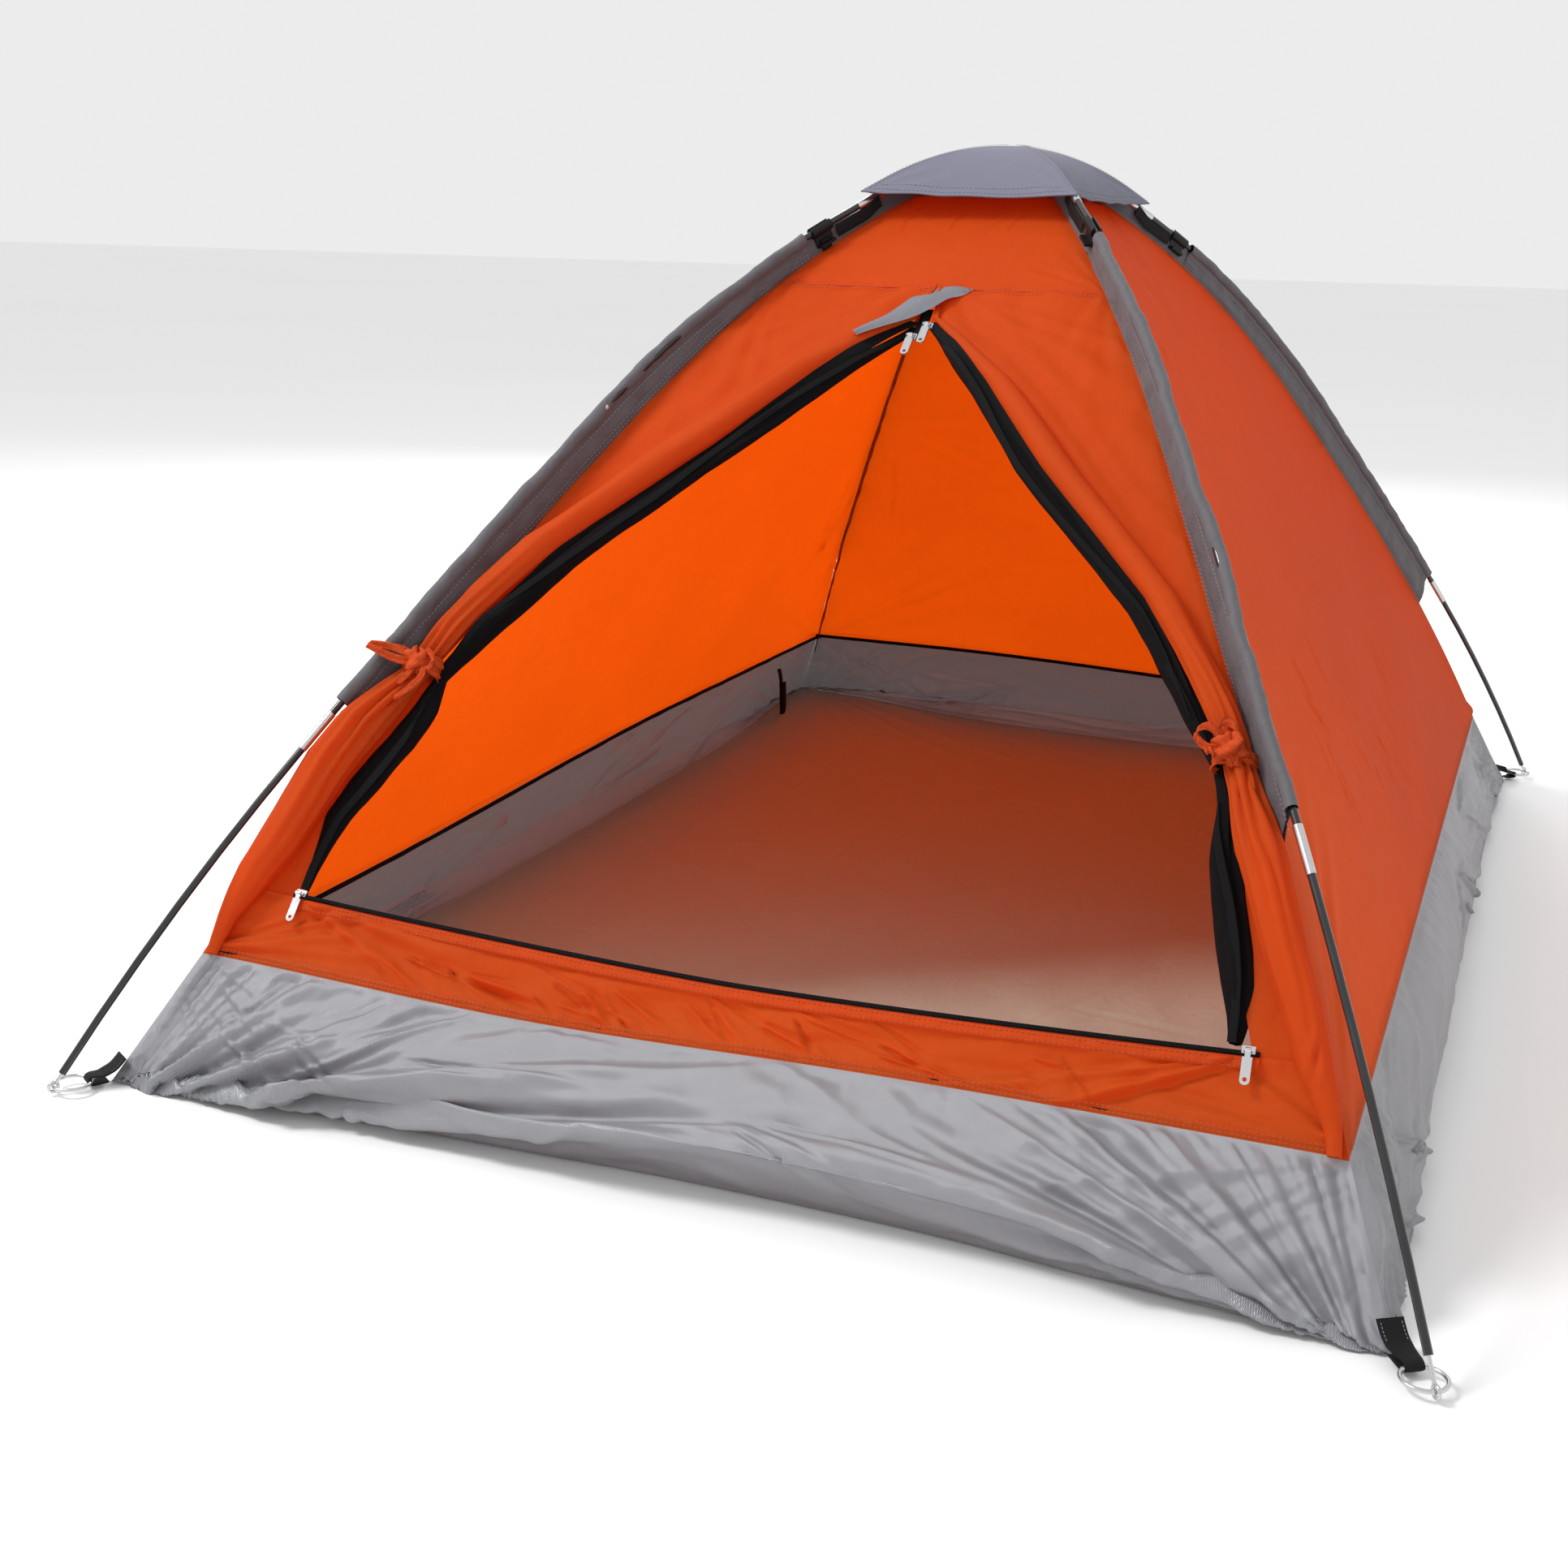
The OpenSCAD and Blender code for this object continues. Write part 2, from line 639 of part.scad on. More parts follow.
rotate([0, 0, 270]) tub_side(floor_w / 2, floor_d / 2, side_u, deep_u);  // tub_left
color(orange) rotate([0, 0, 90]) plain_wall(side_u, deep_u);  // wall_right
color(orange) rotate([0, 0, 180]) plain_wall(deep_u, side_u);  // wall_back
color(orange) rotate([0, 0, 270]) plain_wall(side_u, deep_u);  // wall_left
front_panel(-1);  // front_panel_left
front_panel(1);  // front_panel_right
front_yoke();
door_sill();
roof_mesh();
cap();
cap_tapes();
color(orange) front_roll(-1, door_roll, true);  // door_roll_left
color(orange) front_roll(1, door_roll, true);  // door_roll_right
color(black) front_roll(-1, mesh_roll, false);  // mesh_roll_left
color(black) front_roll(1, mesh_roll, false);  // mesh_roll_right
door_tie(-1);  // door_tie_left
door_tie(1);  // door_tie_right
zip_flap();
sill_zip();
door_zip_end();
inner_loop();
sill_slider(-1);  // sill_slider_left
sill_slider(1);  // sill_slider_right
sill_pull(-1);  // sill_pull_left
sill_pull(1);  // sill_pull_right
top_slider(0);  // door_slider
top_slider(1);  // mesh_slider
top_pull(0);  // door_pull
top_pull(1);  // mesh_pull
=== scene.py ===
"""A two-person dome tent, pitched, with its door rolled open and tied back.

Metres, +Z up, the door faces -Y. Cloth is built as curved sheets on the lines of the two poles,
then wrinkled by fields of folds that run from the corners, the ties and the seams.
"""

import math

import bpy
import numpy as np
from mathutils import Matrix, Vector


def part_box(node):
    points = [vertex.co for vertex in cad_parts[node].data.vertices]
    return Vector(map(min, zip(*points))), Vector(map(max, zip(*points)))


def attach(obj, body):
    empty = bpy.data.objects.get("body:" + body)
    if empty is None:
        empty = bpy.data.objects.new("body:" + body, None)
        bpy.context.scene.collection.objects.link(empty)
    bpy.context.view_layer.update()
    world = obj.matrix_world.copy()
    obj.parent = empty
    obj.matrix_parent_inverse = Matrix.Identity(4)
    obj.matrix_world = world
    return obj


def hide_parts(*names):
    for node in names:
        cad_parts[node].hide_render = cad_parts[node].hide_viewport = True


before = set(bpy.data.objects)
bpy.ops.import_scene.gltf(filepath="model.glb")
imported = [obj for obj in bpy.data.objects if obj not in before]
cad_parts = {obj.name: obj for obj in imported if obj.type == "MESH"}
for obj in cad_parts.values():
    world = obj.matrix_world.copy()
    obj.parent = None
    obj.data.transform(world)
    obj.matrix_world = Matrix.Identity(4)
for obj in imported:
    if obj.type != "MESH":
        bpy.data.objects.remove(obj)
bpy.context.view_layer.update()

# ---- Driving sizes, the same as the part's --------------------------------------------------
FLOOR_W, FLOOR_D = 1.300, 2.000
TUB_H = 0.126            # seam between the floor's raised edge and the canopy
TURNS = (24.7, 16.8, 3.2, 8.0)  # degrees each rod bends, the first for half the middle rod
FERRULE_LEN, FERRULE_D = 0.050, 0.0094
ROD_D = 0.0079
FOOT_GAP = 0.049
SLEEVE_TOP_W, SLEEVE_W, TUNNEL_D = 0.022, 0.040, 0.0145
SLEEVE_START, SLEEVE_END = 0.345, 1.124
CLIP_AT, CLIP_LEN = 0.318, 0.030
APEX_Z, TIE_Z, TIE_X = 0.785, 0.425, 0.400
SILL_Z, SILL_X, SILL_SAG = 0.190, 0.495, 0.020
YOKE_Z = 0.822
CAP_R = 0.240
RING_Z, RING_R = 0.009, 0.019
PIN_OUT = 0.016
VENT_S = 0.225           # the walls' upper edge, along the pole
CLOTH_TOP = 0.150        # the canopy's cloth starts this far down the seam, under the cap
CLOTH_LOW = 0.0015       # the floor's cloth lies this far off the ground
BESIDE_ROD = 0.0046      # from a pole's line to the middle of a tape beside it

HALF_DIAG = math.hypot(FLOOR_W, FLOOR_D) / 2
SIDE_U, DEEP_U = FLOOR_W / 2 / HALF_DIAG, FLOOR_D / 2 / HALF_DIAG
CORNERS = ((-1, -1), (1, -1), (1, 1), (-1, 1))  # front left, front right, back right, back left
CORNER_NAMES = ("front_left", "front_right", "back_right", "back_left")
CORNER_LIFTS = (0.0, FERRULE_D, 0.0, FERRULE_D)  # one pole lies over the other
SIDES = ("front", "right", "back", "left")
UP = np.array([0, 0, 1.0])


# ---- The poles' line ------------------------------------------------------------------------
def pole_segments():
    """[length, turn in radians] from the pole's top down, and the height of its top."""
    headings = np.radians(np.cumsum((0,) + TURNS))
    reach = drop = 0.0
    for i, turn in enumerate(np.radians(TURNS)):
        share = 0.5 if i == 0 else 1.0
        reach += share * (math.sin(headings[i + 1]) - math.sin(headings[i])) / turn
        drop += share * (math.cos(headings[i]) - math.cos(headings[i + 1])) / turn
    reach_f = FERRULE_LEN * sum(math.cos(h) for h in headings[1:4])
    drop_f = FERRULE_LEN * sum(math.sin(h) for h in headings[1:4])
    arc = (HALF_DIAG + FOOT_GAP - reach_f) / reach
    parts = []
    for i, turn in enumerate(np.radians(TURNS)):
        parts.append((arc / 2 if i == 0 else arc, turn))
        if i < 3:
            parts.append((FERRULE_LEN, 0.0))
    foot = RING_Z + PIN_OUT * math.sin(headings[4])
    return parts, foot + arc * drop + drop_f, headings[4]


SEGMENTS, CREST_Z, FOOT_HEADING = pole_segments()
HALF_LEN = sum(length for length, _ in SEGMENTS)


def pole_table(step=0.001):
    """Rows of distance along the pole, reach from the middle, height and heading below level."""
    rows = [(0.0, 0.0, CREST_Z, 0.0)]
    s = r = h = 0.0
    z = CREST_Z
    for length, turn in SEGMENTS:
        n = int(length / step) + 1
        for _ in range(n):
            mid = h + turn / n / 2
            s += length / n
            r += length / n * math.cos(mid)
            z -= length / n * math.sin(mid)
            h += turn / n
            rows.append((s, r, z, h))
    return np.array(rows).T


POLE = pole_table()
SEAM_INSET = np.interp(  # the canopy's corner seam hangs this far inside its pole
    POLE[0], (0, VENT_S, 0.600, SLEEVE_END, HALF_LEN),
    (SLEEVE_TOP_W - 0.004, SLEEVE_TOP_W, SLEEVE_TOP_W + 0.011, SLEEVE_W, SLEEVE_W + 0.024))
SEAM = np.stack([
    POLE[0],
    POLE[1] - SEAM_INSET * np.sin(POLE[3]),
    POLE[2] - SEAM_INSET * np.cos(POLE[3]),
    POLE[3],
])


def along(table, s):
    """Reach, height and heading at distances s along a pole or seam."""
    return tuple(np.interp(s, table[0], row) for row in table[1:])


def seam_s(z):
    """Distance along the canopy's corner seam where it has height z."""
    return np.interp(-np.asarray(z, float), -SEAM[2], SEAM[0])


def corner_point(i, reach, z):
    """Points over corner i's diagonal."""
    sx, sy = CORNERS[i]
    reach, z = np.broadcast_arrays(reach, z)
    return np.stack([sx * SIDE_U * reach, sy * DEEP_U * reach, z], -1)


def corner_side(i):
    """Level direction across corner i's diagonal, and the diagonal's own."""
    sx, sy = CORNERS[i]
    out = np.array([sx * SIDE_U, sy * DEEP_U, 0.0])
    return np.array([-out[1], out[0], 0.0]), out


def corner_up(i, h):
    """Direction square to corner i's pole, away from the tent, where its heading is h."""
    h = np.asarray(h)[..., None]
    return corner_side(i)[1] * np.sin(h) + UP * np.cos(h)


# ---- Walls: out, across, and the corner seams' shares along them ----------------------------
WALLS = {
    "front": (np.array([0.0, -1, 0]), np.array([1.0, 0, 0]), DEEP_U, SIDE_U),
    "right": (np.array([1.0, 0, 0]), np.array([0.0, 1, 0]), SIDE_U, DEEP_U),
    "back": (np.array([0.0, 1, 0]), np.array([-1.0, 0, 0]), DEEP_U, SIDE_U),
    "left": (np.array([-1.0, 0, 0]), np.array([0.0, -1, 0]), SIDE_U, DEEP_U),
}


def wall_point(side, a, s, lift=0.0):
    """Points on a wall: a across it, s down its corner seams, lifted off it."""
    out, across, out_u, _ = WALLS[side]
    a, s, lift = np.broadcast_arrays(a, s, lift)
    reach, z, h = along(SEAM, s)
    tilt = np.arctan2(np.sin(h), out_u * np.cos(h))
    flat = (out_u * reach + lift * np.sin(tilt))[..., None] * out + a[..., None] * across
    flat[..., 2] += z + lift * np.cos(tilt)
    return flat


def wall_up(side, a, s):
    """Unit direction off a wall."""
    up = wall_point(side, a, s, 0.01) - wall_point(side, a, s)
    return up / np.linalg.norm(up, axis=-1, keepdims=True)


def half_width(side, s):
    return WALLS[side][3] * along(SEAM, s)[0]


def between(a, b, t):
    """A grid of points from line a to line b."""
    return a[:, None] * (1 - t)[None, :, None] + b[:, None] * t[None, :, None]


# ---- Noise and folds ------------------------------------------------------------------------
def noise(x, y, seed):
    """Smooth noise from -1 to 1 with one lattice cell to a unit."""
    cells = 96
    grid = np.random.default_rng(seed).random((cells, cells)) * 2 - 1
    xi, yi = np.floor(x).astype(int), np.floor(y).astype(int)
    fx, fy = x - xi, y - yi
    fx, fy = fx * fx * fx * (fx * (fx * 6 - 15) + 10), fy * fy * fy * (fy * (fy * 6 - 15) + 10)

    def at(i, j):
        return grid[(xi + i) % cells, (yi + j) % cells]

    near, far = (at(0, j) * (1 - fx) + at(1, j) * fx for j in (0, 1))
    return near * (1 - fy) + far * fy


def fbm(x, y, seed, octaves=3):
    return sum(noise(x * 2**k + 7 * k, y * 2**k + 3 * k, seed + k) / 2**k for k in range(octaves))


def smooth(x):
    x = np.clip(x, 0, 1)
    return x * x * (3 - 2 * x)


def ray(a, d, x0, y0, angle, length, width, amp):
    """One fold from (x0, y0): a ridge with a shallow valley at each side, wider as it runs on."""
    c, s = math.cos(angle), math.sin(angle)
    run = (a - x0) * c + (d - y0) * s
    off = -(a - x0) * s + (d - y0) * c
    w = width * (0.3 + 0.9 * np.clip(run / length, 0, 1.2))
    shape = np.exp(-((off / w) ** 2)) - 0.4 * np.exp(-(((np.abs(off) - 1.7 * w) / w) ** 2))
    return amp * shape * smooth(run / (0.12 * length)) * smooth((length - run) / (0.55 * length))


def fan(a, d, x0, y0, angles, count, length, width, amp, seed):
    """Folds that spread from one point, between two angles in degrees."""
    r = np.random.default_rng(seed)
    total = np.zeros(np.broadcast(a, d).shape)
    for k in range(count):
        t = (k + 0.5 + 0.5 * (r.random() - 0.5)) / count
        angle = math.radians(angles[0] + (angles[1] - angles[0]) * t)
        total += ray(a, d, x0, y0, angle, length * (0.55 + 0.6 * r.random()),
                     width * (0.7 + 0.6 * r.random()), amp * (0.4 + 0.9 * r.random()))
    return total


def starburst(a, d, x0, y0, seed, reach, amp, lines=20):
    """Fine sharp wrinkles that radiate from one point and die away."""
    x, y = a - x0, d - y0
    far, turn = np.hypot(x, y), np.arctan2(y, np.abs(x) + 1e-6)
    n = fbm(turn * lines + 0.9 * noise(far / 0.22, turn * 3, seed + 50), far / 0.30, seed, 2)
    sharp = 0.55 - 2.2 * np.sqrt(n * n + 0.004)
    fade = smooth(far / 0.06) * np.exp(-((far / reach) ** 2))
    return amp * sharp * fade * (0.3 + 0.7 * np.minimum(far / 0.3, 1))


def pucker(dist, run, seed, amp=0.0013, reach=0.016, pitch=0.013):
    """Small gathers across a stitched seam."""
    folds = fbm(run / pitch, dist / 0.05, seed, 2)
    return amp * np.exp(-dist / reach) * folds * smooth(dist / 0.004)


# ---- Meshes ---------------------------------------------------------------------------------
def new_object(name, verts, faces, material, body="tent", uvs=None):
    """A smooth mesh object that rides on a body; material is a key of MATERIALS."""
    mesh = bpy.data.meshes.new(name)
    verts = np.asarray(verts).reshape(-1, 3).tolist()
    mesh.from_pydata(verts, [], [list(map(int, f)) for f in faces])
    mesh.validate()
    if uvs is not None:
        layer = mesh.uv_layers.new(name="cloth")
        loops = np.zeros(len(mesh.loops), np.int32)
        mesh.loops.foreach_get("vertex_index", loops)
        layer.data.foreach_set("uv", np.asarray(uvs, np.float32).reshape(-1, 2)[loops].ravel())
    mesh.polygons.foreach_set("use_smooth", [True] * len(mesh.polygons))
    mesh.materials.append(MATERIALS[material])
    obj = bpy.data.objects.new(name, mesh)
    bpy.context.scene.collection.objects.link(obj)
    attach(obj, body)
    return obj


def declare(obj, replaces):
    """Hide the CAD nodes that a piece stands for."""
    if replaces:
        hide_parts(*replaces)
    return obj


def grid_faces(m, n, wrap=False):
    """Quads over m rows of n points; wrap joins the last column to the first."""
    i, j = np.meshgrid(np.arange(m - 1), np.arange(n if wrap else n - 1), indexing="ij")
    k = (j + 1) % n
    return np.stack([i * n + j, (i + 1) * n + j, (i + 1) * n + k, i * n + k], -1).reshape(-1, 4)


def lengths(points):
    """Real distances over a grid of points, down its columns and across its rows."""
    across = np.zeros(points.shape[:2])
    down = np.zeros(points.shape[:2])
    across[:, 1:] = np.cumsum(np.linalg.norm(np.diff(points, axis=1), axis=2), axis=1)
    down[1:] = np.cumsum(np.linalg.norm(np.diff(points, axis=0), axis=2), axis=0)
    return across, down


def tube_faces(m, n):
    """Quads round a tube of m rings of n points, with both ends closed."""
    ends = [list(range(n))[::-1], [(m - 1) * n + j for j in range(n)]]
    return [list(f) for f in grid_faces(m, n, wrap=True)] + ends


def run_along(line):
    """Distance along a line of points."""
    return np.concatenate([[0], np.cumsum(np.linalg.norm(np.diff(line, axis=0), axis=1))])


def sample(at, run, rows):
    """Values of rows, given at distances run, at other distances."""
    return np.stack([np.interp(at, run, rows[:, k]) for k in range(3)], -1)


def normals(points):
    n = np.cross(np.gradient(points, axis=0), np.gradient(points, axis=1))
    return n / np.maximum(np.linalg.norm(n, axis=2, keepdims=True), 1e-9)


def cloth(name, points, material, lift=None, body="tent",
          replaces=()):
    """A sheet through a grid of points, moved along its own normals by lift and declared."""
    across, down = lengths(points)
    across = across - across[:, -1:] / 2
    moved = points if lift is None else points + normals(points) * lift[..., None]
    obj = new_object(name, moved, grid_faces(*points.shape[:2]), material, body,
                     np.stack([across, down], -1))
    return declare(obj, replaces)


def ribbon(name, line, side, width, thick, material, body="tent", replaces=(), wave=None):
    """A strap along a line of points; side is the direction across it, one for all or one each."""
    line = np.asarray(line, float)
    side = np.broadcast_to(np.asarray(side, float), line.shape)
    side = side / np.linalg.norm(side, axis=1, keepdims=True)
    up = np.cross(np.gradient(line, axis=0), side)
    up /= np.linalg.norm(up, axis=1, keepdims=True)
    width = np.broadcast_to(width, len(line))[:, None]
    face = np.linspace(-1, 1, 7)
    q = np.concatenate([face, face[::-1]])
    edge = 1 - 0.55 * (np.abs(q) > 0.99)
    h = np.repeat((1, -1), 7) * thick / 2 * edge
    shift = wave(np.linspace(0, 1, len(line))[:, None], q[None, :]) if wave else 0.0
    points = (line[:, None] + side[:, None] * (q[None, :, None] * width[..., None] / 2)
              + up[:, None] * (h[None, :] + shift)[..., None])
    uvs = np.stack(np.broadcast_arrays(q[None, :] * width / 2, run_along(line)[:, None]), -1)
    obj = new_object(name, points, tube_faces(*points.shape[:2]), material, body, uvs)
    return declare(obj, replaces)


def stitches(name, lines, material, body="tent", pitch=0.0052, length=0.0036, width=0.0010):
    """Rows of thread stitches. Each line is (points, normals off the cloth)."""
    verts, faces = [], []
    for points, ups in lines:
        points, ups = np.asarray(points, float), np.asarray(ups, float)
        run = run_along(points)
        at = np.arange(pitch, run[-1] - pitch, pitch)
        mid = sample(at, run, points)
        fore = sample(at + pitch / 2, run, points) - mid
        fore /= np.linalg.norm(fore, axis=1, keepdims=True)
        up = sample(at, run, ups)
        up /= np.linalg.norm(up, axis=1, keepdims=True)
        side = np.cross(fore, up)
        for x, w, h in ((-0.5, 0.3, -0.2), (-0.25, 1, 0.8), (0.25, 1, 0.8), (0.5, 0.3, -0.2)):
            for sx, sz in ((-1, 0), (0, 1), (1, 0)):
                verts.append(mid + fore * x * length + side * sx * w * width / 2
                             + up * (h * width * 0.5 + sz * w * width * 0.35))
        n = len(mid)
        base = sum(len(v) for v in verts[:-12])
        for k in range(n):
            ids = [[base + (r * 3 + c) * n + k for c in range(3)] for r in range(4)]
            for r in range(3):
                for c in range(2):
                    faces.append([ids[r][c], ids[r + 1][c], ids[r + 1][c + 1], ids[r][c + 1]])
    return new_object(name, np.concatenate(verts), faces, material, body)


# ---- Materials ------------------------------------------------------------------------------
def nodes_of(name):
    material = bpy.data.materials.new(name)
    material.use_nodes = True
    tree = material.node_tree
    return material, tree, tree.nodes["Principled BSDF"], tree.nodes["Material Output"]


def node(tree, kind, inputs=None, **settings):
    n = tree.nodes.new(kind)
    for key, value in settings.items():
        setattr(n, key, value)
    for key, value in (inputs or {}).items():
        if isinstance(value, bpy.types.NodeSocket):
            tree.links.new(value, n.inputs[key])
        else:
            n.inputs[key].default_value = value
    return n


def maths(tree, operation, a, b=0.0, clamp=False):
    n = node(tree, "ShaderNodeMath", {0: a, 1: b}, operation=operation, use_clamp=clamp)
    return n.outputs[0]


def mix_colour(tree, factor, a, b, blend="MIX"):
    n = tree.nodes.new("ShaderNodeMix")
    n.data_type, n.blend_type = "RGBA", blend
    for socket, value in ((n.inputs[0], factor), (n.inputs[6], a), (n.inputs[7], b)):
        if isinstance(value, bpy.types.NodeSocket):
            tree.links.new(value, socket)
        else:
            socket.default_value = value
    return n.outputs[2]


def shade(colour, factor):
    return tuple(c * factor for c in colour[:3]) + (1.0,)


def weave(tree, coords, pitch):
    """Height of a plain weave, from threads both ways."""
    split = node(tree, "ShaderNodeSeparateXYZ", {0: coords})
    waves = [maths(tree, "SINE", maths(tree, "MULTIPLY", split.outputs[k], 2 * math.pi / pitch))
             for k in (0, 1)]
    return maths(tree, "MULTIPLY", waves[0], waves[1])


def fabric(name, colour, pitch=0.0011, rough=0.55, through=0.0, sheen=0.15, crinkle=0.3,
           crinkle_scale=70.0, patch=0.10, weave_strength=0.25, warm=None, gloss=0.35, metal=0.0,
           low_shade=0.0, glow_tint=(1.38, 1.0, 0.12, 1.0)):
    """Woven cloth: weave and crinkles as bump, patchy colour, light coming through, and optionally
    painted shade darkening it near the ground.
    """
    material, tree, bsdf, out = nodes_of(name)
    place = node(tree, "ShaderNodeUVMap", uv_map="cloth").outputs[0]
    body = node(tree, "ShaderNodeTexCoord").outputs["Object"]
    wide = node(tree, "ShaderNodeTexNoise", {"Vector": body, "Scale": 3.5, "Detail": 3.0})
    fine = node(tree, "ShaderNodeTexNoise", {"Vector": body, "Scale": 55.0, "Detail": 4.0})
    tone = mix_colour(tree, maths(tree, "MULTIPLY", wide.outputs[0], 1.0, True),
                      shade(colour, 1 - patch), shade(warm or colour, 1 + patch))
    tone = mix_colour(tree, maths(tree, "MULTIPLY", fine.outputs[0], 0.5, True), tone,
                      shade(colour, 0.86))
    # painted shade: below 0.095 m the colour is mixed towards a darker copy, most at 0.035 m and
    # under, standing in for the shade under the tucked-in foot
    if low_shade:
        height = node(tree, "ShaderNodeSeparateXYZ", {0: body}).outputs[2]
        ragged_height = maths(tree, "ADD", height, maths(tree, "MULTIPLY", wide.outputs[0], 0.05))
        low = node(tree, "ShaderNodeMapRange", {0: ragged_height, 1: 0.035, 2: 0.095, 3: low_shade, 4: 0.0})
        tone = mix_colour(tree, low.outputs[0], tone, shade(colour, 0.45))
    small = node(tree, "ShaderNodeTexNoise", {"Vector": body, "Scale": crinkle_scale,
                                              "Detail": 5.0, "Roughness": 0.6, "Distortion": 0.8})
    tree.links.new(tone, bsdf.inputs["Base Color"])
    uneven = node(tree, "ShaderNodeMapRange", {0: wide.outputs[0], 3: rough - 0.08,
                                               4: rough + 0.08})
    tree.links.new(uneven.outputs[0], bsdf.inputs["Roughness"])
    threads = node(tree, "ShaderNodeBump", {"Strength": weave_strength, "Distance": pitch * 0.25,
                                            "Height": weave(tree, place, pitch)})
    creased = node(tree, "ShaderNodeBump", {"Strength": crinkle, "Distance": 0.004,
                                            "Height": small.outputs[0],
                                            "Normal": threads.outputs[0]})
    tree.links.new(creased.outputs[0], bsdf.inputs["Normal"])
    for socket, value in (("Sheen Weight", sheen), ("Sheen Roughness", 0.4),
                          ("Specular IOR Level", gloss), ("Metallic", metal)):
        bsdf.inputs[socket].default_value = value
    if through:
        glow = node(tree, "ShaderNodeBsdfTranslucent", {"Normal": creased.outputs[0]})
        tree.links.new(mix_colour(tree, 1.0, tone, glow_tint, "MULTIPLY"), glow.inputs["Color"])
        mixed = node(tree, "ShaderNodeMixShader", {0: through, 1: bsdf.outputs[0],
                                                   2: glow.outputs[0]})
        tree.links.new(mixed.outputs[0], out.inputs["Surface"])
    return material


def webbing(name, colour, rib=0.0016):
    """Woven strap: ribs across it and dusty wear."""
    material, tree, bsdf, _ = nodes_of(name)
    place = node(tree, "ShaderNodeUVMap", uv_map="cloth").outputs[0]
    body = node(tree, "ShaderNodeTexCoord").outputs["Object"]
    split = node(tree, "ShaderNodeSeparateXYZ", {0: place})
    rows = maths(tree, "SINE", maths(tree, "MULTIPLY", split.outputs[1], 2 * math.pi / rib))
    cols = maths(tree, "SINE", maths(tree, "MULTIPLY", split.outputs[0], 2 * math.pi / (rib * 1.6)))
    cols = maths(tree, "ADD", maths(tree, "MULTIPLY", cols, 0.5), 0.6)
    ribs = maths(tree, "MULTIPLY", rows, cols)
    dust = node(tree, "ShaderNodeTexNoise", {"Vector": body, "Scale": 60.0, "Detail": 4.0})
    tone = mix_colour(tree, maths(tree, "MULTIPLY", dust.outputs[0], 0.9, True), shade(colour, 0.7),
                      shade(colour, 2.2))
    tree.links.new(tone, bsdf.inputs["Base Color"])
    rough = node(tree, "ShaderNodeMapRange", {0: dust.outputs[0], 3: 0.55, 4: 0.85})
    tree.links.new(rough.outputs[0], bsdf.inputs["Roughness"])
    bump = node(tree, "ShaderNodeBump", {"Strength": 0.6, "Distance": 0.0006, "Height": ribs})
    tree.links.new(bump.outputs[0], bsdf.inputs["Normal"])
    bsdf.inputs["Specular IOR Level"].default_value = 0.2
    return material


def solid(name, colour, rough=0.4, metal=0.0, coat=0.0, gloss=0.5, grain=250.0, depth=0.0002,
          stretch=(1, 1, 1)):
    """Metal or plastic with brushed or moulded grain, small scuffs and uneven gloss."""
    material, tree, bsdf, _ = nodes_of(name)
    body = node(tree, "ShaderNodeTexCoord").outputs["Object"]
    lay = node(tree, "ShaderNodeMapping", {0: body, 3: stretch}).outputs[0]
    fine = node(tree, "ShaderNodeTexNoise", {"Vector": lay, "Scale": grain, "Detail": 4.0})
    wide = node(tree, "ShaderNodeTexNoise", {"Vector": body, "Scale": 18.0, "Detail": 5.0})
    tone = mix_colour(tree, fine.outputs[0], shade(colour, 0.85), shade(colour, 1.15))
    tone = mix_colour(tree, maths(tree, "MULTIPLY", wide.outputs[0], 0.4, True), tone,
                      shade(colour, 0.7))
    tree.links.new(tone, bsdf.inputs["Base Color"])
    uneven = node(tree, "ShaderNodeMapRange", {0: wide.outputs[0], 1: 0.3, 2: 0.7,
                                               3: max(rough - 0.12, 0.03), 4: rough + 0.12})
    tree.links.new(uneven.outputs[0], bsdf.inputs["Roughness"])
    bump = node(tree, "ShaderNodeBump", {"Strength": 0.3, "Distance": depth,
                                         "Height": fine.outputs[0]})
    tree.links.new(bump.outputs[0], bsdf.inputs["Normal"])
    for socket, value in (("Metallic", metal), ("Coat Weight", coat),
                          ("Specular IOR Level", gloss)):
        bsdf.inputs[socket].default_value = value
    return material


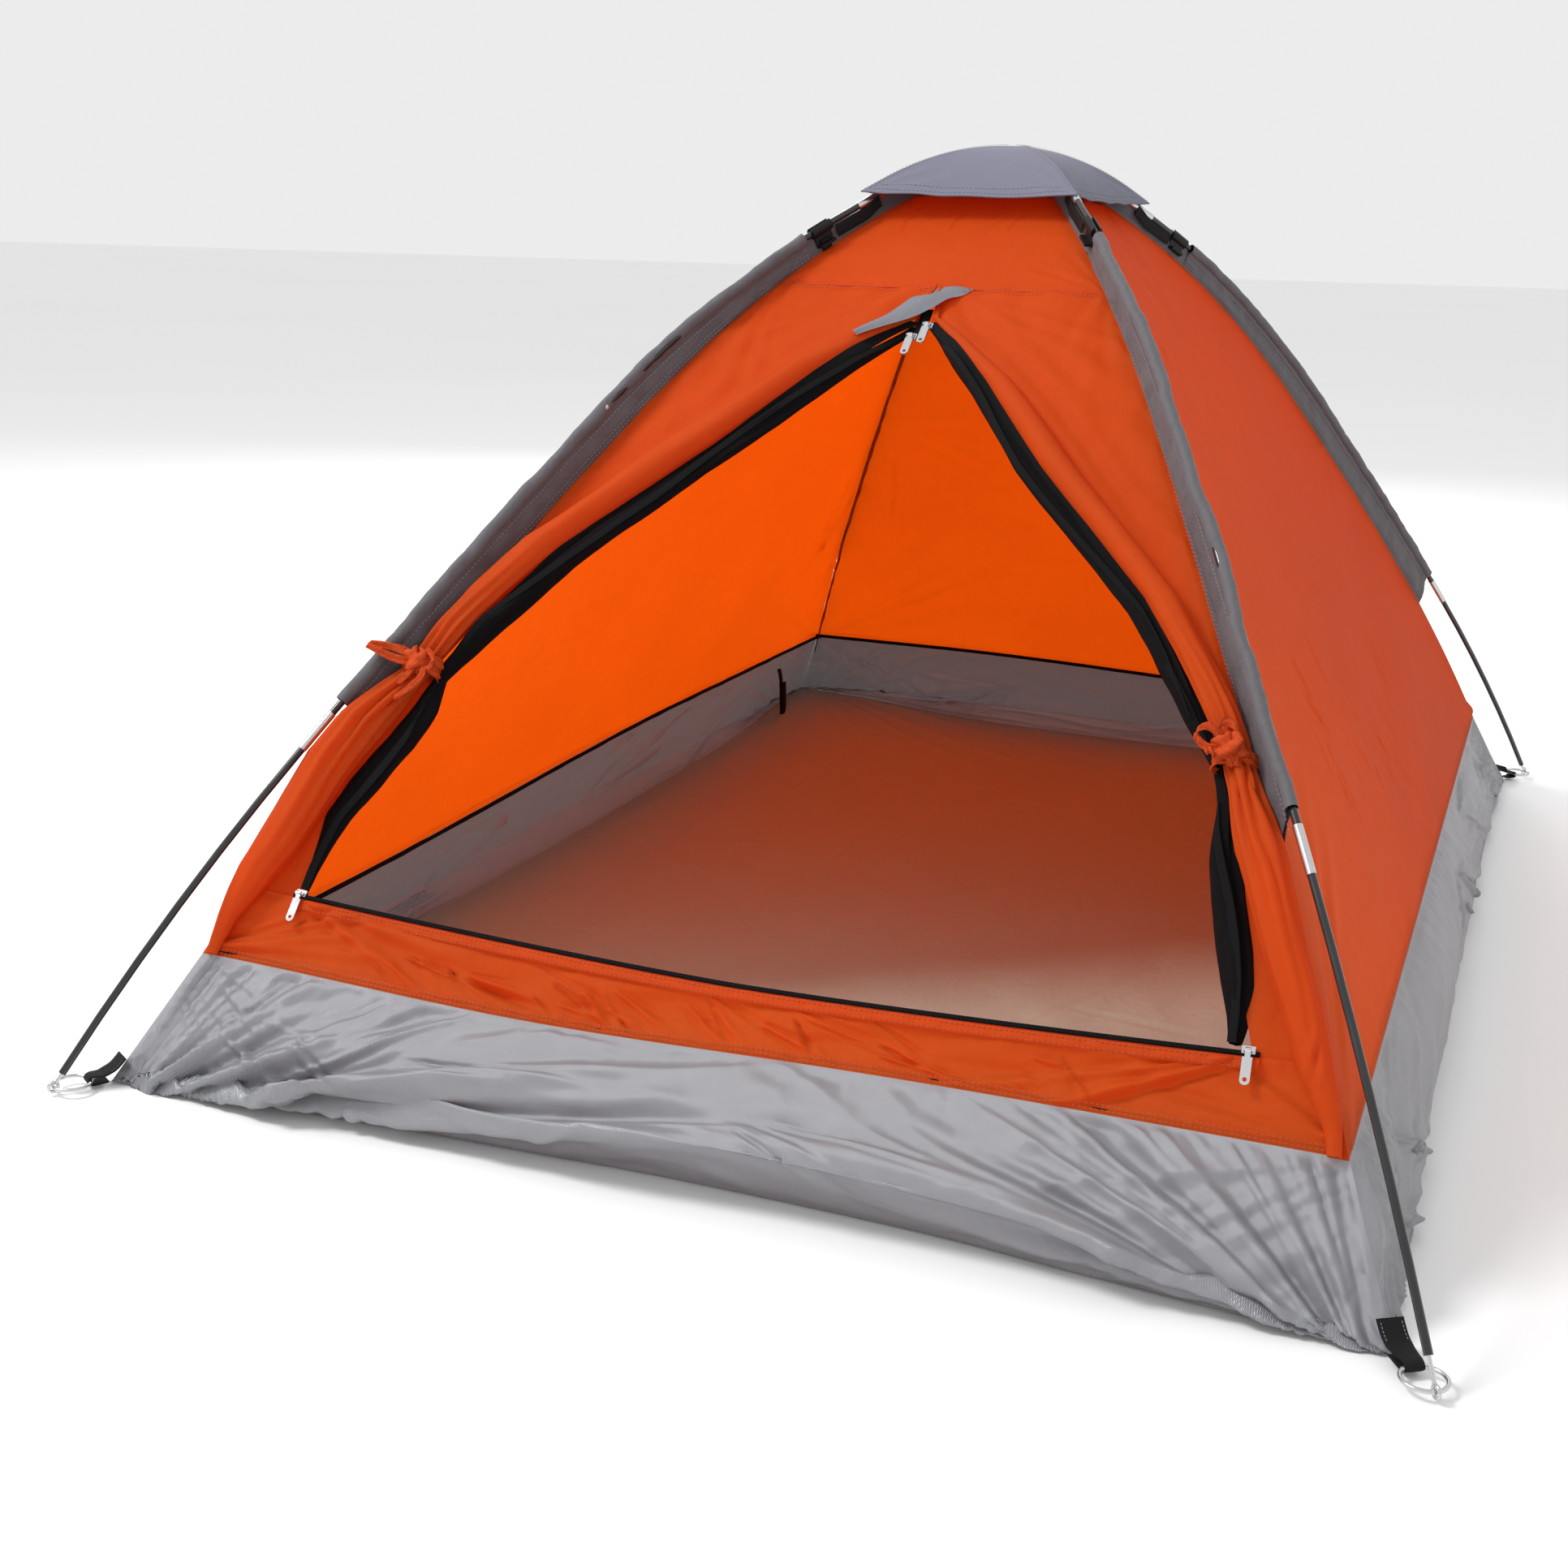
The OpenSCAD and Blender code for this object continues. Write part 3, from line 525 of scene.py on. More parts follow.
ORANGE = (0.70, 0.102, 0.015)
MATERIALS = {
    "orange": fabric("orange_canopy", ORANGE, through=0.48, sheen=0.0, gloss=0.08, crinkle=0.20,
                     warm=(0.74, 0.116, 0.017)),
    "orange_tie": fabric("orange_tie", (0.68, 0.080, 0.014), through=0.12, rough=0.5, sheen=0.0,
                         crinkle=0.9, gloss=0.15, crinkle_scale=110.0),
    "cap": fabric("grey_cap", (0.200, 0.197, 0.252), rough=0.75, sheen=0.0, gloss=0.03,
                  crinkle=0.15),
    "sleeve": fabric("grey_sleeve", (0.115, 0.108, 0.118), rough=0.6, crinkle=0.35,
                     crinkle_scale=110.0),
    # the raised edge's cloth gets painted shade near the ground, darkening its tucked-under foot
    "tub": fabric("silver_floor", (0.355, 0.360, 0.385), through=0.13, rough=0.38, sheen=0.0,
                  crinkle=0.45, crinkle_scale=34.0, patch=0.06, pitch=0.0018, weave_strength=0.4,
                  metal=0.32, low_shade=0.12, glow_tint=(1.0, 0.95, 0.9, 1.0)),
    "floor": fabric("silver_groundsheet", (0.42, 0.43, 0.35), sheen=0.0, crinkle=0.5,
                    crinkle_scale=30.0, patch=0.07, pitch=0.0018, weave_strength=0.4),
    "mesh": fabric("black_mesh", (0.004, 0.004, 0.005), rough=0.6, sheen=0.0, gloss=0.12,
                   crinkle=0.5, pitch=0.0020, weave_strength=0.9),
    "flap": fabric("grey_flap", (0.19, 0.19, 0.22), rough=0.5, crinkle_scale=110.0),
    "zip_tape": fabric("black_zip_tape", (0.005, 0.005, 0.006), rough=0.65, sheen=0.0, gloss=0.12,
                       pitch=0.0012, weave_strength=0.6, crinkle=0.2),
    "seam_tape": fabric("dark_seam_tape", (0.20, 0.028, 0.012), rough=0.6, crinkle=0.4,
                        crinkle_scale=120.0),
    "webbing": webbing("black_webbing", (0.006, 0.006, 0.0065)),
    "thread": solid("orange_thread", (0.42, 0.065, 0.02), rough=0.7),
    "thread_grey": solid("grey_thread", (0.24, 0.24, 0.26), rough=0.7),
    "rod": solid("black_fibreglass", (0.009, 0.009, 0.010), rough=0.24, coat=0.35, grain=320.0,
                 stretch=(1, 1, 0.2)),
    "steel": solid("bright_steel", (0.66, 0.66, 0.67), rough=0.26, metal=1.0, grain=400.0),
    "zip_metal": solid("zip_metal", (0.72, 0.72, 0.74), rough=0.2, metal=1.0, grain=500.0),
    "clip": solid("black_clip", (0.009, 0.009, 0.010), rough=0.42, gloss=0.25, grain=600.0,
                  depth=0.0003),
    "cord": fabric("shock_cord", (0.7, 0.7, 0.7), pitch=0.001, weave_strength=0.8),
    "teeth": solid("zip_teeth", (0.008, 0.008, 0.009), rough=0.35, gloss=0.12, grain=600.0),
}


def carry_over():
    """Better materials on the CAD nodes that stay: poles, hardware and zip sliders."""
    looks = {"rods": "rod", "ferrules": "steel", "shock_cord": "cord", "pins": "steel",
             "rings": "steel", "clip": "clip", "slider": "zip_metal", "pull": "zip_metal"}
    for name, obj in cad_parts.items():
        for word, look in looks.items():
            if word in name:
                obj.data.materials.clear()
                obj.data.materials.append(MATERIALS[look])


# ---- Camera, light and floor ----------------------------------------------------------------
# The photo's camera: azimuth, pitch and roll in degrees, its place, focal length and sensor in mm
CAMERA_TURN, CAMERA_AT = (21.342, 15.411, -1.446), (0.6986, -2.5319, 0.8724)
CAMERA_LENS, CAMERA_SENSOR = 45.478, 36.0
WHITE, GROUND_HALF = 0.84, 60.0  # the surroundings' brightness, and half the pale floor's width


def camera():
    azimuth, pitch, roll = map(math.radians, CAMERA_TURN)
    back = Vector((math.sin(azimuth) * math.cos(pitch), -math.cos(azimuth) * math.cos(pitch),
                   math.sin(pitch)))
    right = (-back).cross(Vector((0, 0, 1))).normalized()
    down = (-back).cross(right)
    right, down = (right * math.cos(roll) + down * math.sin(roll),
                   down * math.cos(roll) - right * math.sin(roll))
    data = bpy.data.cameras.new("camera")
    data.lens, data.sensor_width = CAMERA_LENS, CAMERA_SENSOR
    data.clip_start = 0.05
    obj = bpy.data.objects.new("camera", data)
    turn = Matrix((right, -down, back)).transposed().to_4x4()
    obj.matrix_world = Matrix.Translation(CAMERA_AT) @ turn
    bpy.context.scene.collection.objects.link(obj)
    bpy.context.scene.camera = obj


def area_light(name, place, target, size, power, colour=(1, 1, 1)):
    data = bpy.data.lights.new(name, "AREA")
    data.shape, data.size, data.energy, data.color = "DISK", size, power, colour
    obj = bpy.data.objects.new(name, data)
    obj.location = place
    obj.rotation_euler = (Vector(target) - Vector(place)).to_track_quat("-Z", "Y").to_euler()
    bpy.context.scene.collection.objects.link(obj)


def studio():
    """Even white surroundings, three soft lights and a pale floor."""
    scene = bpy.context.scene
    scene.view_settings.view_transform = "Standard"
    world = bpy.data.worlds.new("studio")
    world.use_nodes = True
    for socket, value in zip(world.node_tree.nodes["Background"].inputs, ((1, 1, 1, 1), WHITE)):
        socket.default_value = value
    scene.world = world
    area_light("key", (-3.0, -2.2, 4.3), (0, -0.2, 0.4), 1.6, 172)
    area_light("back", (-1.6, 4.2, 2.6), (0, 0.2, 0.4), 2.6, 90)
    area_light("side", (3.6, 0.2, 0.6), (0, 0.2, 0.1), 2.0, 3)
    mesh = bpy.data.meshes.new("ground")
    corners = [(x * GROUND_HALF, y * GROUND_HALF, 0) for x, y in CORNERS]
    mesh.from_pydata(corners, [], [(0, 1, 2, 3)])
    material, tree, bsdf, _ = nodes_of("pale_floor")
    grain = node(tree, "ShaderNodeTexNoise", {"Scale": 30.0, "Detail": 3.0})
    tone = mix_colour(tree, grain.outputs[0], (0.90, 0.90, 0.90, 1), (0.93, 0.93, 0.93, 1))
    tree.links.new(tone, bsdf.inputs["Base Color"])
    bsdf.inputs["Roughness"].default_value = 0.9
    mesh.materials.append(material)
    obj = bpy.data.objects.new("ground", mesh)
    obj.location.z = -0.0005
    scene.collection.objects.link(obj)


# ---- Canopy walls ---------------------------------------------------------------------------
def zip_s(x):
    """The sill zip's line: distance down the wall, sagging to the middle."""
    sag = 1 - np.minimum(np.abs(x) / SILL_X, 1.16) ** 1.5
    return float(seam_s(SILL_Z - 0.003)) + 0.9 * SILL_SAG * sag


def foot_s(side, a):
    """The canopy's lower seam: it sags a little in front, and the back left of it is pulled up."""
    foot = float(seam_s(TUB_H)) + 0 * a
    if side == "front":
        return foot + 0.012 * np.exp(-(((a + 0.20) / 0.28) ** 2))
    if side == "left":
        return foot - 0.040 * smooth((0.75 - a) / 1.0) * smooth((a + 1.05) / 0.2)
    if side == "back":
        return foot - 0.040 * smooth((a + 0.55) / 0.9)
    return foot


def level(s):
    """A seam at one distance down the wall."""
    return lambda a: s + 0 * a


def wall_grid(side, top, foot, columns, rows):
    """Points of a wall between two seams, its a, d, half width, and what is left to its foot."""
    t = np.linspace(-1, 1, columns)[None, :]
    v = np.linspace(0, 1, rows)[:, None]
    start = top(t * half_width(side, top(0.0 * t))) + 0 * t
    end = foot(t * float(half_width(side, seam_s(TUB_H)))) + 0 * t
    s = start + (end - start) * v
    half = half_width(side, s)
    a = half * t
    return wall_point(side, a, s), a, s - start, half, end - s


def wall_folds(a, d, half, left_over, seed):
    """Folds that every wall has: from its four corners, along its seams, and soft waves."""
    depth = d + left_over
    top, foot, low = half[0, -1], half[-1, -1], float(depth.mean())
    sleeve_end = 0.62
    lift = -0.008 * np.cos(np.pi * a / (2 * half)) * np.sin(np.pi * d / depth)
    for k, sign in enumerate((-1, 1)):
        across = a * sign
        lift += fan(across, d, -top, 0.02, (52, 80), 3, 0.50, 0.024, 0.0016, seed + k)
        lift += fan(across, d, -foot, low, (-58, -14), 6, 0.55, 0.022, 0.0030, seed + 3 + k)
        lift += fan(across, d, -np.interp(sleeve_end, d[:, 0], half[:, 0]), sleeve_end, (-10, 50),
                    4, 0.26, 0.016, 0.0016, seed + 7 + k)
    edge = half - np.abs(a)
    lift += pucker(edge, d, seed + 11, 0.0016, 0.016, 0.024)
    lift += pucker(left_over, a, seed + 13, 0.0018, 0.020, 0.020)
    lift += 0.0020 * fbm(a / 0.20, d / 0.14, seed + 17, 2)
    patches = smooth(fbm(a / 0.3, d / 0.3, seed + 5, 2) + 0.1)
    lift += 0.0007 * fbm(a / 0.045, d / 0.10, seed + 21, 2) * patches
    return lift * smooth(edge / 0.012) * smooth(left_over / 0.010)


def creases(a, d, spots, angle, spread, length, width, amp, seed):
    """Short thin creases scattered round given places."""
    r = np.random.default_rng(seed)
    total = 0
    for x, y, count, reach in spots:
        for _ in range(count):
            turn = math.radians(angle + spread * (r.random() - 0.5) * 2)
            x0, y0 = (at + reach * (r.random() - 0.5) * 2 for at in (x, y))
            total = total + ray(a, d, x0, y0, turn, length * (0.5 + r.random()),
                                width * (0.6 + 0.8 * r.random()),
                                amp * (0.5 + r.random()) * r.choice((-1, 1)))
    return total


# Each wall's seed, columns and creases: where (across, down, how many, reach), angle, spread,
# length, width, height and seed
PLAIN_WALLS = {
    "right": (100, 320, (
        (((-0.12, 0.42, 9, 0.09), (-0.05, 0.62, 9, 0.10), (0.10, 0.75, 6, 0.10)),
         78, 60, 0.07, 0.0040, 0.0007, 140),
        (((-0.30, 0.92, 10, 0.13), (-0.02, 0.98, 8, 0.10), (0.25, 1.0, 6, 0.12)),
         84, 24, 0.13, 0.0032, 0.0012, 150))),
    "back": (200, 220, (
        (((0.50, 0.95, 8, 0.06), (0.40, 0.75, 7, 0.06)), 90, 22, 0.16, 0.0080, 0.0022, 260),)),
    "left": (300, 320, (
        (((-0.80, 0.95, 9, 0.07), (-0.62, 0.80, 7, 0.08)), 90, 22, 0.16, 0.0080, 0.0022, 360),)),
}


def plain_walls():
    for side, (seed, columns, scattered) in PLAIN_WALLS.items():
        points, a, d, half, rest = wall_grid(side, level(CLOTH_TOP),
                                             lambda a, side=side: foot_s(side, a), columns, 200)
        lift = wall_folds(a, d, half, rest, seed)
        for group in scattered:
            lift += creases(a, d, *group)
        cloth("canopy_" + side, points, "orange", lift * smooth(rest / 0.01),
              replaces=["wall_" + side])


def yoke():
    """The front above the doorway, down to the seam that the leaves hang from."""
    points, a, d, half, rest = wall_grid("front", level(CLOTH_TOP),
                                         level(float(seam_s(YOKE_Z)) + 0.003), 150, 60)
    lift = 0.0014 * fbm(a / 0.10, d / 0.06, 401, 2)
    lift += pucker(rest, a, 403, 0.0016, 0.014, 0.018)
    for sign in (-1, 1):
        lift += fan(a * sign, d, -half[-1, -1], d[-1, 0], (-64, -20), 4, 0.16, 0.010, 0.0018,
                    405 + sign)
    spots = ((-0.10, 0.10, 4, 0.03), (0.02, 0.14, 3, 0.04))
    lift += creases(a, d, spots, -75, 20, 0.07, 0.005, 0.0012, 411)
    lift *= smooth((half - np.abs(a)) / 0.012) * smooth(rest / 0.006)
    cloth("canopy_yoke", points, "orange", lift,
          replaces=["front_yoke"])


def doorway(z):
    return np.interp(z, (SILL_Z, TIE_Z, APEX_Z), (SILL_X, TIE_X, 0.0))


# The rolled leaves from the floor's seam up to the yoke, right and left: height, inner edge, half
# the roll's width, half its thickness
LEAVES = {
    1: np.array([
        (0.120, 0.575, 0.0060, 0.004), (0.142, 0.568, 0.0080, 0.007), (0.160, 0.555, 0.0125, 0.011),
        (0.179, 0.5415, 0.0165, 0.015), (0.202, 0.528, 0.019, 0.018), (0.230, 0.512, 0.0205, 0.021),
        (0.263, 0.493, 0.0210, 0.023), (0.297, 0.476, 0.0215, 0.024), (0.331, 0.459, 0.0215, 0.023),
        (0.360, 0.448, 0.019, 0.019), (0.385, 0.438, 0.015, 0.014), (0.405, 0.430, 0.012, 0.011),
        (0.420, 0.421, 0.013, 0.0115), (0.445, 0.400, 0.015, 0.0135), (0.480, 0.369, 0.017, 0.015),
        (0.530, 0.322, 0.0185, 0.0165), (0.640, 0.186, 0.0185, 0.0165), (0.720, 0.098, 0.015, 0.013),
        (0.765, 0.040, 0.009, 0.007), (0.787, 0.010, 0.0035, 0.003),
        (0.830, 0.0, 0.0008, 0.0006)]).T,
    -1: np.array([
        (0.120, 0.575, 0.0060, 0.004), (0.159, 0.560, 0.0110, 0.009), (0.182, 0.542, 0.0170, 0.014),
        (0.202, 0.528, 0.0205, 0.018), (0.225, 0.512, 0.0235, 0.021), (0.269, 0.492, 0.0250, 0.024),
        (0.309, 0.474, 0.0255, 0.026), (0.345, 0.456, 0.0240, 0.024), (0.380, 0.440, 0.0180, 0.016),
        (0.402, 0.431, 0.0125, 0.0115), (0.416, 0.424, 0.013, 0.0115),
        (0.445, 0.402, 0.0165, 0.0145), (0.480, 0.371, 0.0195, 0.017),
        (0.530, 0.325, 0.0215, 0.019), (0.640, 0.188, 0.0215, 0.0185),
        (0.720, 0.100, 0.017, 0.0145), (0.765, 0.042, 0.010, 0.008), (0.787, 0.010, 0.004, 0.003),
        (0.830, 0.0, 0.0008, 0.0006)]).T,
}
WAIST_Z = 0.406          # the ties have slipped down to here


def leaf(sign):
    """A front panel whose free edge is rolled: one sheet from the corner seam into the roll."""
    name = "right" if sign > 0 else "left"
    seed = 500 + 10 * sign
    rows, flat_cols, roll_cols = 300, 90, 90
    s_top, s_foot = float(seam_s(YOKE_Z)) - 0.006, float(seam_s(TUB_H)) + 0.002
    s = np.linspace(s_top, s_foot, rows)
    reach, z, _ = along(SEAM, s)
    outer = SIDE_U * reach
    inner, a, b = (np.interp(z, LEAVES[sign][0], LEAVES[sign][k]) for k in (1, 2, 3))
    grow = 1 + 0.07 * noise(s / 0.09, s * 0 + 3, seed)
    a, b = a * grow, b * grow
    centre = np.minimum(inner + a, outer + 0.001)
    join = np.minimum(centre + 0.5 * a, outer - 0.0015)
    start = -np.pi + np.arcsin(np.clip((join - centre) / a, -0.7, 0.7))
    q = np.linspace(0, 1, flat_cols)[None]
    x_flat = outer[:, None] + (join - outer)[:, None] * q
    width = np.maximum(outer - join, 0.002)[:, None]
    from_roll = (1 - q) * width
    tie_s = float(seam_s(WAIST_Z))
    above, below = np.clip(tie_s - s, 0, None)[:, None], np.clip(s - tie_s, 0, None)[:, None]
    tight = np.exp(-above / 0.055) * np.exp(-below / 0.110)
    wander = 2.2 * noise(s[:, None] / 0.22, from_roll / 0.09, seed + 1)
    soft = 0.0024 * np.sin(2 * np.pi * from_roll / 0.055 + wander)
    soft = soft * np.exp(-from_roll / 0.085) * smooth(from_roll / 0.01)
    lift_flat = soft * smooth(width / 0.04)
    turn = np.linspace(0, 1, roll_cols)[None, 1:]
    end = 1.85 * np.pi
    angle = start[:, None] + (end - start[:, None]) * turn
    past = np.clip((angle - 0.85 * np.pi) / np.pi, 0, 1)
    pleats = np.sin(9 * angle + 1.6 * noise(s[:, None] / 0.07, angle, seed + 2))
    ring = (1 - 0.45 * past) * (1 + 0.30 * tight * pleats * smooth((angle - start[:, None]) / 0.4)
                                + 0.035 * noise(s[:, None] / 0.10, angle / 0.7, seed + 3))
    x_roll = centre[:, None] - a[:, None] * ring * np.sin(angle)
    lift_roll = b[:, None] * (0.9 + ring * np.cos(angle))
    x = np.concatenate([x_flat, x_roll], 1)
    lift = np.concatenate([lift_flat + (lift_roll[:, :1] * q**6), lift_roll], 1)
    points = wall_point("front", sign * x, s[:, None] + 0 * x, lift)
    d = s[:, None] - s[0] + 0 * x
    tie_d = tie_s - s[0]
    extra = 0.0014 * fbm(x / 0.14, d / 0.18, seed + 4, 2)
    extra += 0.0006 * fbm(x / 0.035, d / 0.09, seed + 5, 2)
    extra += fan(x, d, 0.03, 0.02, (20, 58), 4, 0.50, 0.022, 0.0022, seed + 6)
    extra += fan(x, d, outer[0], 0.0, (66, 98), 3, 0.35, 0.016, 0.0018, seed + 7)
    extra += fan(x, d, TIE_X + 0.052, tie_d - 0.012, (-128, -102), 5, 0.40, 0.014, 0.0034, seed + 8)
    extra += fan(x, d, TIE_X + 0.042, tie_d + 0.002, (58, 88), 5, 0.22, 0.011, 0.0050, seed + 10)
    for slope, length, thick, amp in ((60, 0.33, 0.0075, -0.0170), (55, 0.33, 0.0090, 0.0070),
                                      (71, 0.30, 0.0100, 0.0060)):
        extra += ray(x, d, 0.450, tie_d + 0.010, math.radians(slope), length, thick, amp)
    if sign > 0:  # the right leaf is pinched near its foot
        pinch = tie_d + 0.235
        extra += fan(x, d, 0.560, pinch, (55, 125), 5, 0.07, 0.005, 0.0030, seed + 12)
        extra += ray(x, d, 0.562, pinch + 0.012, math.radians(97), 0.10, 0.0045, -0.010)
    extra += pucker(outer[:, None] - x, d, seed + 9, 0.0016, 0.016, 0.022)
    extra *= smooth((outer[:, None] - x) / 0.010) * smooth((d - 0.006) / 0.006)
    extra -= 0.0012 * smooth(1 - d / 0.008)
    extra *= np.concatenate([np.ones(flat_cols), np.full(roll_cols - 1, 0.3)])[None]
    if sign > 0:
        points, extra = points[:, ::-1], extra[:, ::-1]
    cloth("canopy_door_" + name, points, "orange", extra,
          replaces=["front_panel_" + name, "door_roll_" + name])


def leaf_edge(sign):
    """The flat edge of the doorway, behind the leaf's roll and the mesh bundle."""
    name = "right" if sign > 0 else "left"
    s = np.linspace(float(seam_s(TIE_Z - 0.01)), float(zip_s(SILL_X)) + 0.001, 90)[:, None]
    reach, z, _ = along(SEAM, s)
    bundle = np.interp(z, MESH[0], MESH[1 if sign > 0 else 2])
    inside = np.maximum(doorway(z) + 0.003, bundle + 0.006)
    outside = SIDE_U * reach - 0.001
    x = outside + (inside - outside) * np.linspace(0, 1, 46)[None]
    lift = -0.0035 + 0.0010 * fbm(x / 0.02, s / 0.05, 512 + 10 * sign, 2)
    points = wall_point("front", sign * x, s + 0 * x, lift)
    cloth("door_edge_" + name, points[:, ::-sign], "orange")


def sill():
    """The strip between the zip and the floor's raised edge."""
    points, a, d, half, rest = wall_grid("front", zip_s, lambda a: foot_s("front", a), 360, 60)
    bell = np.sin(np.pi * d / (d + rest))
    lift = -0.004 * bell + 0.0040 * fbm(a / 0.10 + d / 0.08, d / 0.030, 601, 2) * bell
    for sign in (-1, 1):
        lift += fan(a * sign, d, -half[-1, -1], float(d[-1].mean()), (-34, -4), 4, 0.40, 0.010,
                    0.0050, 610 + sign)
        lift += fan(a * sign, d, -SILL_X, 0.0, (3, 26), 5, 0.36, 0.009, 0.0050, 620 + sign)
    spots = [(x, 0.034, 5, 0.03) for x in (-0.36, -0.28, -0.20, -0.12, -0.03, 0.06, 0.16, 0.30)]
    lift += creases(a, d, spots, 28, 26, 0.09, 0.0050, 0.0040, 627) * bell
    lift += pucker(d, a, 630, 0.0022, 0.012, 0.012) + pucker(rest, a, 633, 0.0024, 0.012, 0.016)
    lift *= smooth((half - np.abs(a)) / 0.01) * smooth(d / 0.003) * smooth(rest / 0.006)
    cloth("canopy_sill", points, "orange", lift,
          replaces=["door_sill"])


# ---- Floor and its raised edge --------------------------------------------------------------
def pulled_up(x, y):
    """The floor's back left corner is held off the ground by its strap."""
    return 0.026 * np.exp(-(((x + 0.65) / 0.32) ** 2) - ((y - 1.0) / 0.42) ** 2)


def foot_inset(t, side):
    """How far the raised edge tucks in under itself."""
    depth, bend = {"front": (0.040, 2.2), "right": (0.034, 4.0), "back": (0.022, 3.0),
                   "left": (0.018, 3.0)}[side]
    return depth * (1 - np.abs(t) ** bend) + 0.004 * noise(3.1 * t + 5, 0 * t, 700 + len(side))


# The raised edge: seed, columns, how high it bulges, how far its knee stands out, how rough it is
TUB_SIDES = {"front": (700, 380, 0.060, 0.006, 1.0), "right": (720, 480, 0.030, -0.006, 0.8),
             "back": (740, 300, 0.034, 0.004, 0.9), "left": (760, 480, 0.030, 0.004, 0.9)}
KNEE_AT = 0.66           # the share of its rows above the knee
TUB_CLOTH = 0.165        # its cloth from seam to foot
# Long folds in front from its left (1) and right (-1) feet: angle, length, width, height
FRONT_FOLDS = {
    1: ((-3, 0.80, 0.013, 0.0100), (-6.5, 1.05, 0.018, -0.0150), (-11, 0.85, 0.014, 0.0120),
        (-15, 0.55, 0.013, -0.0090), (-20, 0.50, 0.012, 0.0070), (-27, 0.34, 0.011, -0.0070),
        (-34, 0.30, 0.010, 0.0055), (-44, 0.24, 0.010, -0.0055)),
    -1: ((-5, 0.75, 0.014, -0.0090), (-9, 0.55, 0.012, 0.0065), (-16, 0.42, 0.012, -0.0065),
         (-24, 0.34, 0.012, 0.0055), (-40, 0.22, 0.009, -0.0060), (-56, 0.18, 0.008, 0.0050)),
}


def tub():
    """The floor's raised edge: down from the seam to a knee, then in under itself."""
    for side, (seed, columns, bulge, knee, rough) in TUB_SIDES.items():
        out, across, out_u, across_u = WALLS[side]
        ends = side in ("front", "back")
        foot_out, foot_half = (FLOOR_D if ends else FLOOR_W) / 2, (FLOOR_W if ends else FLOOR_D) / 2
        t = np.linspace(-1, 1, columns)[None, :]
        v = np.linspace(0, 1, 84)[:, None]
        top_reach, top_z, _ = along(SEAM, foot_s(side, t * float(half_width(side, seam_s(TUB_H)))))
        foot = foot_out * out[:, None] + foot_half * t * across[:, None]
        ground = pulled_up(*foot[:2, None])
        middle = 1 - np.abs(t) ** 2.4
        high = bulge * middle * (1 + 0.25 * noise(t * 2.3 + 7, 0 * t, seed)) + 0.0010
        foot_at = foot_out - foot_inset(t, side)
        knee_out = foot_out + knee * middle
        down = np.clip(v / KNEE_AT, 0, 1)
        under = np.clip((v - KNEE_AT) / (1 - KNEE_AT), 0, 1)
        top_out, top_half = out_u * top_reach, across_u * top_reach
        half = top_half + (foot_half - top_half) * down
        a = half * t
        reach = top_out + (knee_out - top_out) * down + (foot_at - knee_out) * under
        reach = reach + 0.010 * np.sin(np.pi * down) * middle * (down < 1)
        z = top_z + (high + ground - top_z) * down + (CLOTH_LOW - high) * under
        points = reach[..., None] * out + a[..., None] * across + (z + 0 * a)[..., None] * UP
        d = v * TUB_CLOTH + 0 * a
        bell = np.sin(np.pi * down) ** 0.7
        lift = 0.0046 * rough * fbm(a / 0.16 + d / 0.25, d / 0.055 + a / 0.5, seed + 2, 2) * bell
        for sign, folds in FRONT_FOLDS.items() if side == "front" else ():
            for turn, length, width, amp in folds:
                lift += ray(sign * a, d, -foot_half, 0.150, math.radians(turn), length, width, amp)
        for k, sign in enumerate((-1, 1)):
            lift += fan(a * sign, d, -foot_half, 0.150, (-46, -4), 9, 0.55, 0.009,
                        0.0040 * rough**0.5, seed + 5 + k)
            lift += fan(a * sign, d, -float(top_half[0, 0]), 0.0, (8, 44), 4, 0.30, 0.009, 0.0030,
                        seed + 9 + k)
        r = np.random.default_rng(seed + 30)
        spots = [(foot_half * (2 * r.random() - 1) * 0.9, 0.03 + 0.08 * r.random(), 3, 0.03)
                 for _ in range(int(9 * rough * foot_half))]
        lift += creases(a, d, spots, 14, 30, 0.22, 0.0055, 0.0036, seed + 31)
        for k, sign in enumerate((-1, 1)):
            lift += starburst(a * sign, d, -foot_half, 0.155, seed + 60 + k, 0.75,
                              0.0054 if side == "front" else 0.0034, 17)
            lift += starburst(a * sign, d, -foot_half, -0.01, seed + 70 + k, 0.45, 0.0022, 12)
        lift += 0.0007 * fbm(a / 0.028, d / 0.024, seed + 12, 2)
        lift += pucker(d, a, seed + 14, 0.0022, 0.014, 0.017)
        if side == "right":
            lift += 0.014 * noise(a / 0.34, d / 0.16, seed + 16) * bell
        hold = smooth((half - np.abs(a)) / 0.012) * smooth(v / 0.06) * smooth((1 - v) / 0.04)
        cloth("tub_sheet_" + side, points, "tub", lift * hold,
              replaces=["tub_" + side])


